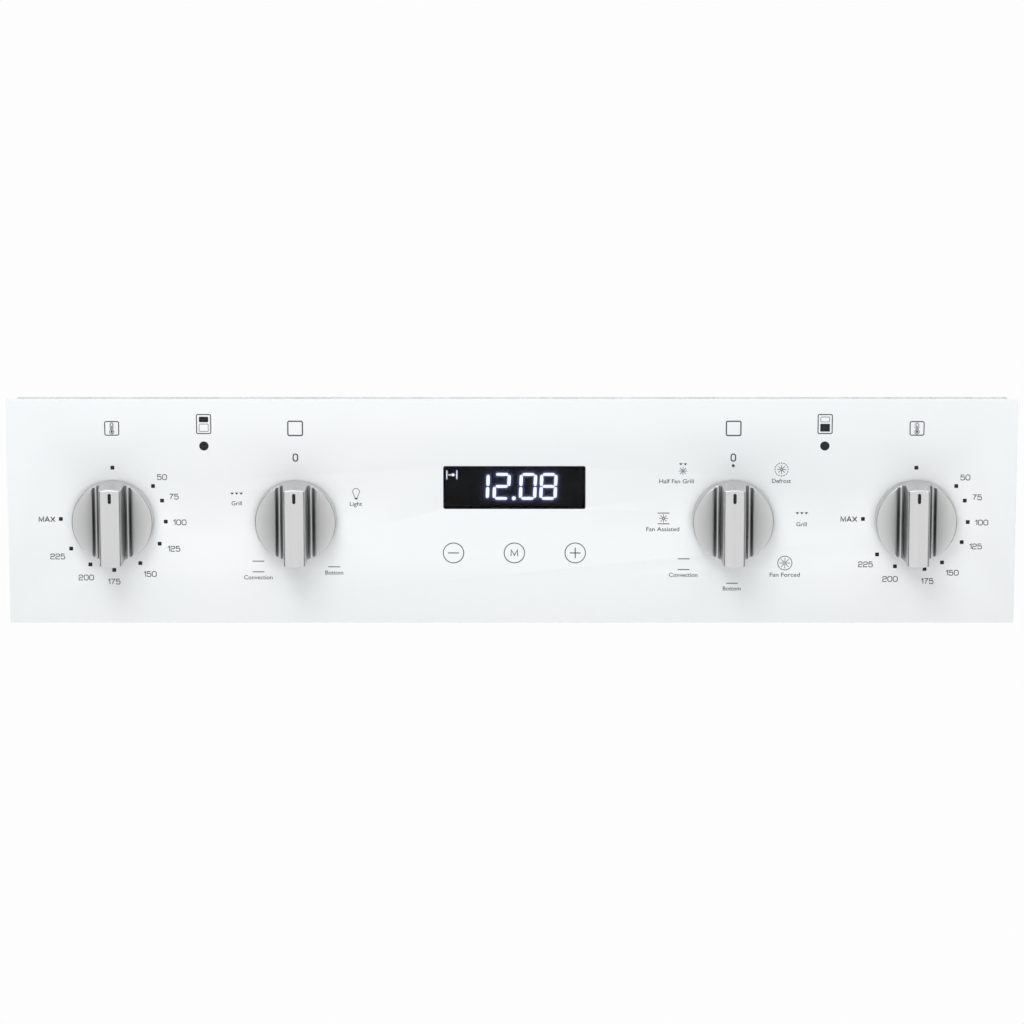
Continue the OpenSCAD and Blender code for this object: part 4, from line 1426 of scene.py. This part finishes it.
def distanceTo(point, a, b):
    a, b, p = Vector(a), Vector(b), Vector(point)
    d = b - a
    t = 0 if d.length < 1e-9 else max(0, min(1, (p - a).dot(d) / d.length_squared))
    return (p - a - d * t).length


# The module's box, with a fine front face that carries the glow round each segment
def makeModule(low, high, faceY, lines):
    across, up = display["cells"]
    near, nearFall = display["glowNear"]
    tail, tailFall = display["glowTail"]
    points = []
    glow = []
    for j in range(up + 1):
        for i in range(across + 1):
            x = low.x + (high.x - low.x) * i / across
            z = low.z + (high.z - low.z) * j / up
            points.append((x, faceY, z))
            nearest = min(distanceTo((x, z), a, b) - r for a, b, r in lines)
            edge = max(0.0, nearest) / (display["glowReach"] * mm)
            glow.append(math.exp(-edge * edge * nearFall) * near
                        + math.exp(-edge * tailFall) * tail)
    row = across + 1
    faces = [(j * row + i, j * row + i + 1, (j + 1) * row + i + 1, (j + 1) * row + i)
             for j in range(up) for i in range(across)]
    count = len(points)
    rim = (list(range(row)) + [j * row + across for j in range(1, up + 1)]
           + [up * row + i for i in range(across - 1, -1, -1)]
           + [j * row for j in range(up - 1, 0, -1)])
    for index in rim:
        x, _, z = points[index]
        points.append((x, high.y, z))
        glow.append(0.0)
    total = len(rim)
    for k in range(total):
        n = (k + 1) % total
        faces.append((rim[n], rim[k], count + k, count + n))
    faces.append(tuple(count + k for k in range(total)))
    mesh = meshFromPoints("displayModule", points, faces, False)
    attribute = mesh.attributes.new("glow", "FLOAT", "POINT")
    attribute.data.foreach_set("value", glow)
    piece = newPiece("displayModule", mesh, moduleFace)
    turnOutwards(mesh)
    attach(piece, "panel")
    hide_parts("led_display")


makeDisplay()
print("display built")


knob = {
    "r": 23.95,
    "draft": 0.55,                   # mm that the side leans in by the bar's height
    "height": 26.0,
    "faceBelow": 0.04,               # mm that the face lies under the pointer's ink
    "crown": ((0.0, 0.0), (1.6, 0.0), (3.2, 0.01), (4.4, 0.04)),   # out from the middle, fall
    "faceHalf": 5.2,
    "edgeR": 1.2,
    "edgeFall": 0.06,
    "wing": 8.9,
    "grooveR": 2.4,
    "grooveUp": 0.8,                 # mm from the wings up to the groove's middle
    "grooveTurn": 150,               # degrees
    "lip": (0.1, 0.3),               # mm out from the groove, where its edge is broken
    "wallFoot": 7.1,
    "bulge": 0.7,                    # mm that the bar's foot swells at its middle
    "dish": 0.7,                     # mm that the wings fall towards the bar
    # painted shade on the groove walls, the lip and the wings, as parts of the way to the dark
    # colour
    "wallShade": 0.82,
    "wingShade": 0.42,
    "wingBase": 0.1,
    "stripeAt": 0.5,                 # painted bright line along the groove's floor, where the painted shade is lifted
    "stripeWide": 0.14,
    "stripeStrength": 0.85,
    "rimR": 0.5,
    "steps": (6, 12, 16, 24),        # over the bar's edge, its wall, the groove and the wing
    "columns": 64,
    "wallLevels": (0.75, 0.5, 0.25, 0.04, 0.0),
    "footIn": 0.25,                  # mm that the foot's edge is broken
    "underside": ((0.0, 21.55), (2.35, 21.5), (2.35, 20.0), (5.0, 20.0), (5.0, 8.5)),
    "merge": 0.004,                  # mm
    "smoothTo": 32,                  # degrees
}


def knobProfile():
    # (x, height, how much it follows the bulge, painted shade) from the middle of the bar
    # outwards
    size = knob
    h = size["height"] - size["faceBelow"]
    edgeSteps, wallSteps, grooveSteps, wingSteps = size["steps"]
    rows = [(x, h - fall, 0, 0) for x, fall in size["crown"]]
    for i in range(edgeSteps + 1):
        a = math.radians(90 - 85 * i / edgeSteps)
        rows.append((size["faceHalf"] + size["edgeR"] * math.cos(a),
                     h - size["edgeR"] + size["edgeR"] * math.sin(a) - size["edgeFall"],
                     0.05 * i / edgeSteps, 0))
    top = rows[-1]
    footX, footZ = size["wallFoot"], size["wing"] + size["grooveUp"]
    for i in range(1, wallSteps + 1):
        t = i / wallSteps
        # painted shade down the bar's wall
        rows.append((top[0] + (footX - top[0]) * t, top[1] + (footZ - top[1]) * t,
                     0.05 + 0.95 * t, min(1, 2.0 * t) * size["wallShade"]))
    gx, gz, gr = footX + size["grooveR"], footZ, size["grooveR"]
    for i in range(1, grooveSteps + 1):
        t = i / grooveSteps
        a = math.radians(180 + size["grooveTurn"] * t)
        # painted shade in the groove, lifted along its floor as a painted bright line
        stripe = math.exp(-((t - size["stripeAt"]) / size["stripeWide"]) ** 2)
        shade = size["wallShade"] * (1 - size["stripeStrength"] * stripe)
        rows.append((gx + gr * math.cos(a), gz + gr * math.sin(a), max(0, 1 - t * 1.6), shade))
    last = rows[-1]
    drop, lipOut = size["lip"]
    lip = last[0] + lipOut
    # painted dark line at the wings' inner lip
    rows.append((last[0] + drop, size["wing"] - size["dish"] - drop, 0, 0.3))
    rows.append((lip, size["wing"] - size["dish"], 0, 0.05))
    outer = size["r"] - 0.02
    for i in range(1, wingSteps + 1):
        t = i / wingSteps
        x = lip + (outer - lip) * (1 - (1 - t) ** 1.5)
        out = (x - lip) / (outer - lip)
        rise = size["dish"] * (1 - (1 - out) ** 2)
        # painted shade over the wings, darkest next to the bar
        shade = size["wingShade"] * (1 - out) ** 1.6 + size["wingBase"] * (1 - out ** 12)
        rows.append((x, size["wing"] - size["dish"] + rise, 0, shade))
    return rows


def rimDrop(d, r):
    # How far the top surface falls within r of the outer wall
    if d >= r:
        return 0.0
    k = max(0.0, d) / r
    return r * (1 - math.sqrt(max(0.0, 1 - (1 - k) ** 2)))


def knobSide(rows, side):
    # Points of one half, row by row outwards, each row along the bar
    size = knob
    grid = []
    n = size["columns"]
    for x, z, follow, shade in rows:
        radius = size["r"] - size["draft"] * z / size["height"]
        line = []
        for j in range(n + 1):
            t = -1 + 2 * j / n
            t = math.copysign(1 - (1 - abs(t)) ** 1.7, t)      # closer together at both ends
            swell = size["bulge"] * follow * (1 - t * t)
            px = min(x + swell, radius - 0.001)
            reach = math.sqrt(max(0.0, radius * radius - px * px))
            py = t * reach
            gap = radius - math.hypot(px, py)
            pz = z - rimDrop(gap, size["rimR"])
            # painted shade fades towards both ends of the bar
            fade = (1 - t * t) ** 0.45
            line.append((side * px * mm, py * mm, pz * mm, shade * fade))
        grid.append(line)
    return grid


def topOutline(rows, n):
    # Points all the way round the grid of the top surface
    top = [i * n for i in range(rows)]
    top += [(rows - 1) * n + j for j in range(1, n)]
    top += [i * n + n - 1 for i in range(rows - 2, -1, -1)]
    top += list(range(n - 2, 0, -1))
    return top


def aimed(x, y, radius, height):
    # The place at a radius and height that lies towards (x, y)
    angle = math.atan2(y, x)
    return (radius * math.cos(angle), radius * math.sin(angle), height)


def wallRing(points, top, level):
    # The top's outline brought down the leaning wall to one level
    size = knob
    footIn = size["footIn"] if level == 0 else 0
    ring = []
    for index in top:
        x, y, z = points[index]
        height = z * level
        radius = (size["r"] - size["draft"] * (height / mm) / size["height"] - footIn) * mm
        ring.append(aimed(x, y, radius, height))
    return ring


def addRing(points, faces, previous, ring):
    # Joins a further ring of points to the one before it
    start = len(points)
    count = len(ring)
    points += ring
    current = list(range(start, start + count))
    for k in range(count):
        m = (k + 1) % count
        faces.append((previous[k], previous[m], current[m], current[k]))
    return current


def makeKnobMesh(name):
    size = knob
    rows = knobProfile()
    right = knobSide(rows, 1)
    left = knobSide(rows, -1)
    grid = left[:0:-1] + right
    points = [p[:3] for line in grid for p in line]
    shades = [p[3] for line in grid for p in line]
    n = size["columns"] + 1
    faces = []
    for i in range(len(grid) - 1):
        for j in range(n - 1):
            a = i * n + j
            faces.append((a, a + n, a + n + 1, a + 1))
    top = topOutline(len(grid), n)
    previous = top
    for level in size["wallLevels"]:
        previous = addRing(points, faces, previous, wallRing(points, top, level))
    for depth, radius in size["underside"]:
        ring = [aimed(*points[index][:2], radius * mm, depth * mm) for index in top]
        previous = addRing(points, faces, previous, ring)
    centre = len(points)
    points.append((0, 0, size["underside"][-1][0] * mm))
    for k in range(len(top)):
        faces.append((previous[k], previous[(k + 1) % len(top)], centre))
    mesh = meshFromPoints(name, points, faces)
    shades += [0.0] * (len(points) - len(shades))
    # painted shade of the grooves and wings, stored for the knob's material
    mesh.attributes.new("recess", "FLOAT", "POINT").data.foreach_set("value", shades)
    turnOutwards(mesh, size["merge"])
    return mesh


pointer = {"w": 1.95, "l": 6.2, "y": 18.3, "deep": 0.4, "steps": 10}


def makeKnob(control):
    centre = axisOf[control]
    place = (Matrix.Translation((centre.x, knobFoot, centre.z))
             @ Matrix.Rotation(math.pi / 2, 4, "X"))
    mesh = makeKnobMesh(control + "Knob")
    mesh.transform(place)
    smoothByAngle(mesh, knob["smoothTo"])
    piece = newPiece(control + "Knob", mesh, satinMetal)
    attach(piece, control)
    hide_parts(control + "_knob")
    half = (pointer["l"] - pointer["w"]) / 2 * mm
    z = centre.z + pointer["y"] * mm
    mark = capsule((centre.x, z - half), (centre.x, z + half), pointer["w"] / 2 * mm,
                   knobFront, knobFront + pointer["deep"] * mm, pointer["steps"])
    mark.name = control + "Pointer"
    mark.data.materials.append(blackPrint)
    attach(mark, control)


for control in controls:
    makeKnob(control)
print("knobs built")


capillary = {
    "tube": 1.5,                     # mm, outside diameter
    "tubeSides": 12,
    "coilR": 24.2,
    "coilFront": -4.2,               # depth of the first turn, measured out from the lips
    "coilBack": -13.2,
    "turns": 6.5,
    "turnSteps": 60,
    "handSteps": 7,                  # steps of the first turn whose points are listed one by one
    "bend": 4.0,
    "riserX": -25.0,
    "phialUp": 54.0,                 # above the control's axis
    "phialOut": 14.0,
    "phialD": 4.0,
    "phialLength": 84.0,
    "phialTaper": 3.0,
    "phialBend": 3.0,
    "phialSides": 20,
    "smoothTo": 50,                  # degrees
}


# Path from the thermostat's diaphragm through the coil to the start of the phial, in mm as
# (x, up, out) from the control's axis
def capillaryPath():
    size = capillary
    r = size["coilR"]
    path = [(0.0, 0.0, -1.6), (0.0, 0.0, -2.9), (0.35, 0.0, -3.8), (1.3, 0.0, size["coilFront"])]
    path += [(r * k, 0.0, size["coilFront"]) for k in (0.2, 0.4, 0.6, 0.8)]
    path += [(r - 1.6, -0.4, size["coilFront"]), (r - 0.5, -1.6, size["coilFront"])]
    steps = int(size["turns"] * size["turnSteps"])
    for i in range(size["handSteps"], steps + 1):
        a = -math.tau * size["turns"] * i / steps
        depth = size["coilFront"] + (size["coilBack"] - size["coilFront"]) * i / steps
        path.append((r * math.cos(a), r * math.sin(a), depth))
    riser, back, bend = size["riserX"], size["coilBack"], size["bend"]
    path += [(riser + 0.5, 3.0, back), (riser, 8.0, back)]
    path += [(riser, up, back) for up in (18.0, 30.0, 42.0)]
    for i in range(7):
        a = math.radians(90 * i / 6)
        path.append((riser, size["phialUp"] - bend + bend * math.sin(a),
                     back + bend - bend * math.cos(a)))
    out, turn = size["phialOut"], size["phialBend"]
    path += [(riser, size["phialUp"], k * (out - turn) + (1 - k) * (back + bend))
             for k in (0.5, 1.0)]
    for i in range(1, 7):
        a = math.radians(90 * i / 6)
        path.append((riser + turn - turn * math.cos(a), size["phialUp"],
                     out - turn + turn * math.sin(a)))
    return path


def phialRings(points, radii):
    sides = capillary["phialSides"]
    rings, faces = [], []
    for (x, up, out), r in zip(points, radii):
        for k in range(sides):
            a = math.tau * k / sides
            rings.append((x, up + r * math.cos(a), out + r * math.sin(a)))
    for i in range(len(points) - 1):
        for k in range(sides):
            n = (k + 1) % sides
            faces.append((i * sides + k, i * sides + n, (i + 1) * sides + n,
                          (i + 1) * sides + k))
    faces.append(tuple(range(sides)))
    faces.append(tuple(reversed(range((len(points) - 1) * sides, len(points) * sides))))
    return rings, faces


def standUp(points, centre, flip):
    # Panel offsets in mm to places in the frame
    return [(centre.x + flip * x * mm, -out * mm, centre.z + up * mm) for x, up, out in points]


def makeCapillary(oven, flip):
    size = capillary
    centre = axisOf[oven + "_temperature"]
    path = standUp(capillaryPath(), centre, flip)
    line = bpy.data.meshes.new("path")
    line.from_pydata(path, [(i, i + 1) for i in range(len(path) - 1)], [])
    tube = runTree("tube", tubeAlongPath, {
        "Thickness": size["tube"] * mm, "Sides": size["tubeSides"], "Material": copperTube},
        base=line)
    start = size["riserX"] + size["phialBend"]
    end = size["riserX"] + size["phialLength"]
    taper = size["phialTaper"]
    thin, thick = size["tube"] / 2, size["phialD"] / 2
    stations = [(start - 0.6, thin), (start, thin + 0.15), (start + taper * 0.5, thick * 0.75),
                (start + taper, thick), (end - taper, thick), (end - taper * 0.6, thick * 0.9),
                (end - taper * 0.2, thick * 0.55), (end, thick * 0.35)]
    rings, faces = phialRings([(x, size["phialUp"], size["phialOut"]) for x, r in stations],
                              [r for x, r in stations])
    mesh = meshFromPoints("phial", standUp(rings, centre, flip), faces)
    turnOutwards(mesh)
    piece = joined(oven + "Capillary", [tube, newPiece("phial", mesh, copperTube)])
    smoothByAngle(piece.data, size["smoothTo"])
    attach(piece, "panel")
    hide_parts(oven + "_capillary")


makeCapillary("upper", 1)
makeCapillary("main", -1)
print("capillaries wound")

materialOf = {
    "display_lens": smokedLens, "bonding_tape": foamTape, "hole_grommets": whiteMoulding,
    "control_plates": pressedSteel, "control_screws": brightSteel, "clock_frame": blackMoulding,
    "clock_screws": brightSteel, "display_board": circuitBoard, "touch_springs": brightSteel,
    "power_board": circuitBoard, "transformer": coilTape, "relays": relayCase,
    "capacitors": capacitorSleeve, "buzzer": blackMoulding, "upper_pilot_lamp": amberLamp,
    "main_pilot_lamp": amberLamp, "upper_lamp_leads": leadSleeve,
    "main_lamp_leads": leadSleeve, "phial_clips": blackMoulding,
    "thermostat_diaphragms": brassTab, "thermostat_levers": brassTab,
    "selector_tie_screws": brightSteel, "selector_detents": brightSteel,
}
for name in ("upper", "main"):
    materialOf[name + "_thermostat_terminals"] = brassTab
    materialOf[name + "_selector_contacts"] = brassTab
    materialOf[name + "_selector_terminals"] = brassTab
    materialOf[name + "_function_cams"] = camMoulding
for control in controls:
    materialOf[control + "_hub"] = blackSocket
    materialOf[control + "_spindle"] = brightSteel


def paintFrame():
    for name, material in materialOf.items():
        mesh = nodes[name].data
        mesh.materials.clear()
        mesh.materials.append(material)


# Solids whose edges show from behind: (edge radius in mm, material, slot)
softEdges = {
    "carrier_tray": (0.3, zincSheet, "zinc_steel"),
    "clock_rear_cover": (0.5, blackMoulding, "black_moulding"),
    "clock_terminals": (0.25, ivoryMoulding, "white_moulding"),
}
for name in ("upper", "main"):
    softEdges[name + "_thermostat_housing"] = (0.4, ceramicBody, "ceramic")
    softEdges[name + "_thermostat_cover"] = (0.25, pressedSteel, "bright_steel")
    softEdges[name + "_selector_housing"] = (0.4, whiteMoulding, "white_moulding")
    softEdges[name + "_selector_wafers"] = (0.3, whiteMoulding, "white_moulding")
    softEdges[name + "_selector_rear_cap"] = (0.4, blackMoulding, "black_moulding")


def softenFrame():
    for name, (width, material, slot) in softEdges.items():
        softened(name, width, material)


paintFrame()
softenFrame()
print("frame painted,", len(softEdges), "solids softened")


studio = {
    "floorZ": -0.9,
    "floorHalf": (1.1, 6.0),
    "seenWhite": 0.985,              # what the camera sees behind everything
    "front": 1.32,                   # brightness of the wide soft source in front
    "overhead": 1.45,
    "sides": 0.015,
    "strips": (0.78, 0.82, 0.95),
    "behind": 0.92,
    "sideSpan": (0.40, 0.58),        # where each of these blends in, along its own direction
    "stripSpan": (0.90, 0.97),
    "behindSpan": (-0.1, 0.5),
    "overheadSpan": (0.45, 0.8),
    "keyPower": 15.0,
    "keyPlace": (-0.5, -1.5, 1.9),
    "keySize": 1.0,
    "cameraDistance": 3.0,
    "elevation": 13.0,
    "lookAt": (0.0, -0.029, 0.0),
    "lens": 178.6,
    "sensor": 36,
    "farthest": 200,
}


# Pale floor that takes soft light, and looks evenly white from afar
def makeFloor():
    bm = bmesh.new()
    bmesh.ops.create_grid(bm, x_segments=1, y_segments=1, size=0.5)
    halfX, halfY = studio["floorHalf"]
    bmesh.ops.scale(bm, verts=bm.verts, vec=(2 * halfX, 2 * halfY, 1))
    bmesh.ops.translate(bm, verts=bm.verts, vec=(0, 0, studio["floorZ"]))
    floor = newPiece("floor", meshFromBmesh("floor", bm))
    material, tree, shader = newMaterial("paleFloor", Roughness=0.9)
    tone = noiseAt(tree, objectPoint(tree), 0.8, 2)
    tree.links.new(mixColor(tree, tone, (0.84, 0.84, 0.84), (0.86, 0.86, 0.86)),
                   shader.inputs["Base Color"])
    glow = add(tree, "ShaderNodeEmission")
    glow.inputs["Color"].default_value = (studio["seenWhite"],) * 3 + (1,)
    seen = add(tree, "ShaderNodeLightPath")
    blend = add(tree, "ShaderNodeMixShader")
    tree.links.new(seen.outputs["Is Camera Ray"], blend.inputs[0])
    tree.links.new(shader.outputs[0], blend.inputs[1])
    tree.links.new(glow.outputs[0], blend.inputs[2])
    below = add(tree, "ShaderNodeNewGeometry")
    clear = add(tree, "ShaderNodeBsdfTransparent")
    oneSided = add(tree, "ShaderNodeMixShader")                 # seen through from underneath
    tree.links.new(below.outputs["Backfacing"], oneSided.inputs[0])
    tree.links.new(blend.outputs[0], oneSided.inputs[1])
    tree.links.new(clear.outputs[0], oneSided.inputs[2])
    tree.links.new(oneSided.outputs[0], tree.nodes["Material Output"].inputs["Surface"])
    floor.data.materials.append(material)


# Soft sources in front and overhead with dark flats at both sides, which the metal shows;
# the camera itself sees plain white
def makeWorld():
    size = studio
    world = bpy.data.worlds.new("studio")
    bpy.context.scene.world = world
    world.use_nodes = True
    tree = world.node_tree
    back = tree.nodes["Background"]
    coordinate = add(tree, "ShaderNodeTexCoord")
    split = add(tree, "ShaderNodeSeparateXYZ")
    tree.links.new(coordinate.outputs["Generated"], split.inputs[0])
    across = mathNode(tree, "ABSOLUTE", split.outputs["X"])
    toSide = mapRange(tree, across, *size["sideSpan"], 0.0, 1.0)
    toStrip = mapRange(tree, across, *size["stripSpan"], 0.0, 1.0)
    toBack = mapRange(tree, split.outputs["Y"], *size["behindSpan"], 0.0, 1.0)
    toTop = mapRange(tree, split.outputs["Z"], *size["overheadSpan"], 0.0, 1.0)
    tone = mixColor(tree, toSide, (size["front"],) * 3, (size["sides"],) * 3)
    tone = mixColor(tree, toStrip, tone, size["strips"])
    tone = mixColor(tree, toBack, tone, (size["behind"],) * 3)
    tone = mixColor(tree, toTop, tone, (size["overhead"],) * 3)
    seen = add(tree, "ShaderNodeLightPath")
    tone = mixColor(tree, seen.outputs["Is Camera Ray"], tone, (size["seenWhite"],) * 3)
    tree.links.new(tone, back.inputs["Color"])


def makeLights():
    light = bpy.data.lights.new("key", "AREA")
    light.energy = studio["keyPower"]
    light.shape = "SQUARE"
    light.size = studio["keySize"]
    holder = bpy.data.objects.new("key", light)
    bpy.context.scene.collection.objects.link(holder)
    holder.location = studio["keyPlace"]
    aim = Vector((0, 0, 0)) - holder.location
    holder.rotation_euler = aim.to_track_quat("-Z", "Y").to_euler()


def makeCamera():
    camera = bpy.data.cameras.new("camera")
    camera.lens = studio["lens"]
    camera.sensor_width = studio["sensor"]
    camera.clip_end = studio["farthest"]
    holder = bpy.data.objects.new("camera", camera)
    bpy.context.scene.collection.objects.link(holder)
    up = math.radians(studio["elevation"])
    aim = Vector(studio["lookAt"])
    away = Vector((0, -math.cos(up), math.sin(up))) * studio["cameraDistance"]
    holder.location = aim + away
    holder.rotation_euler = (-away).to_track_quat("-Z", "Y").to_euler()
    bpy.context.scene.camera = holder


makeFloor()
makeWorld()
makeLights()
makeCamera()
bpy.context.scene.view_settings.view_transform = "Standard"
print("stage, light and camera set")
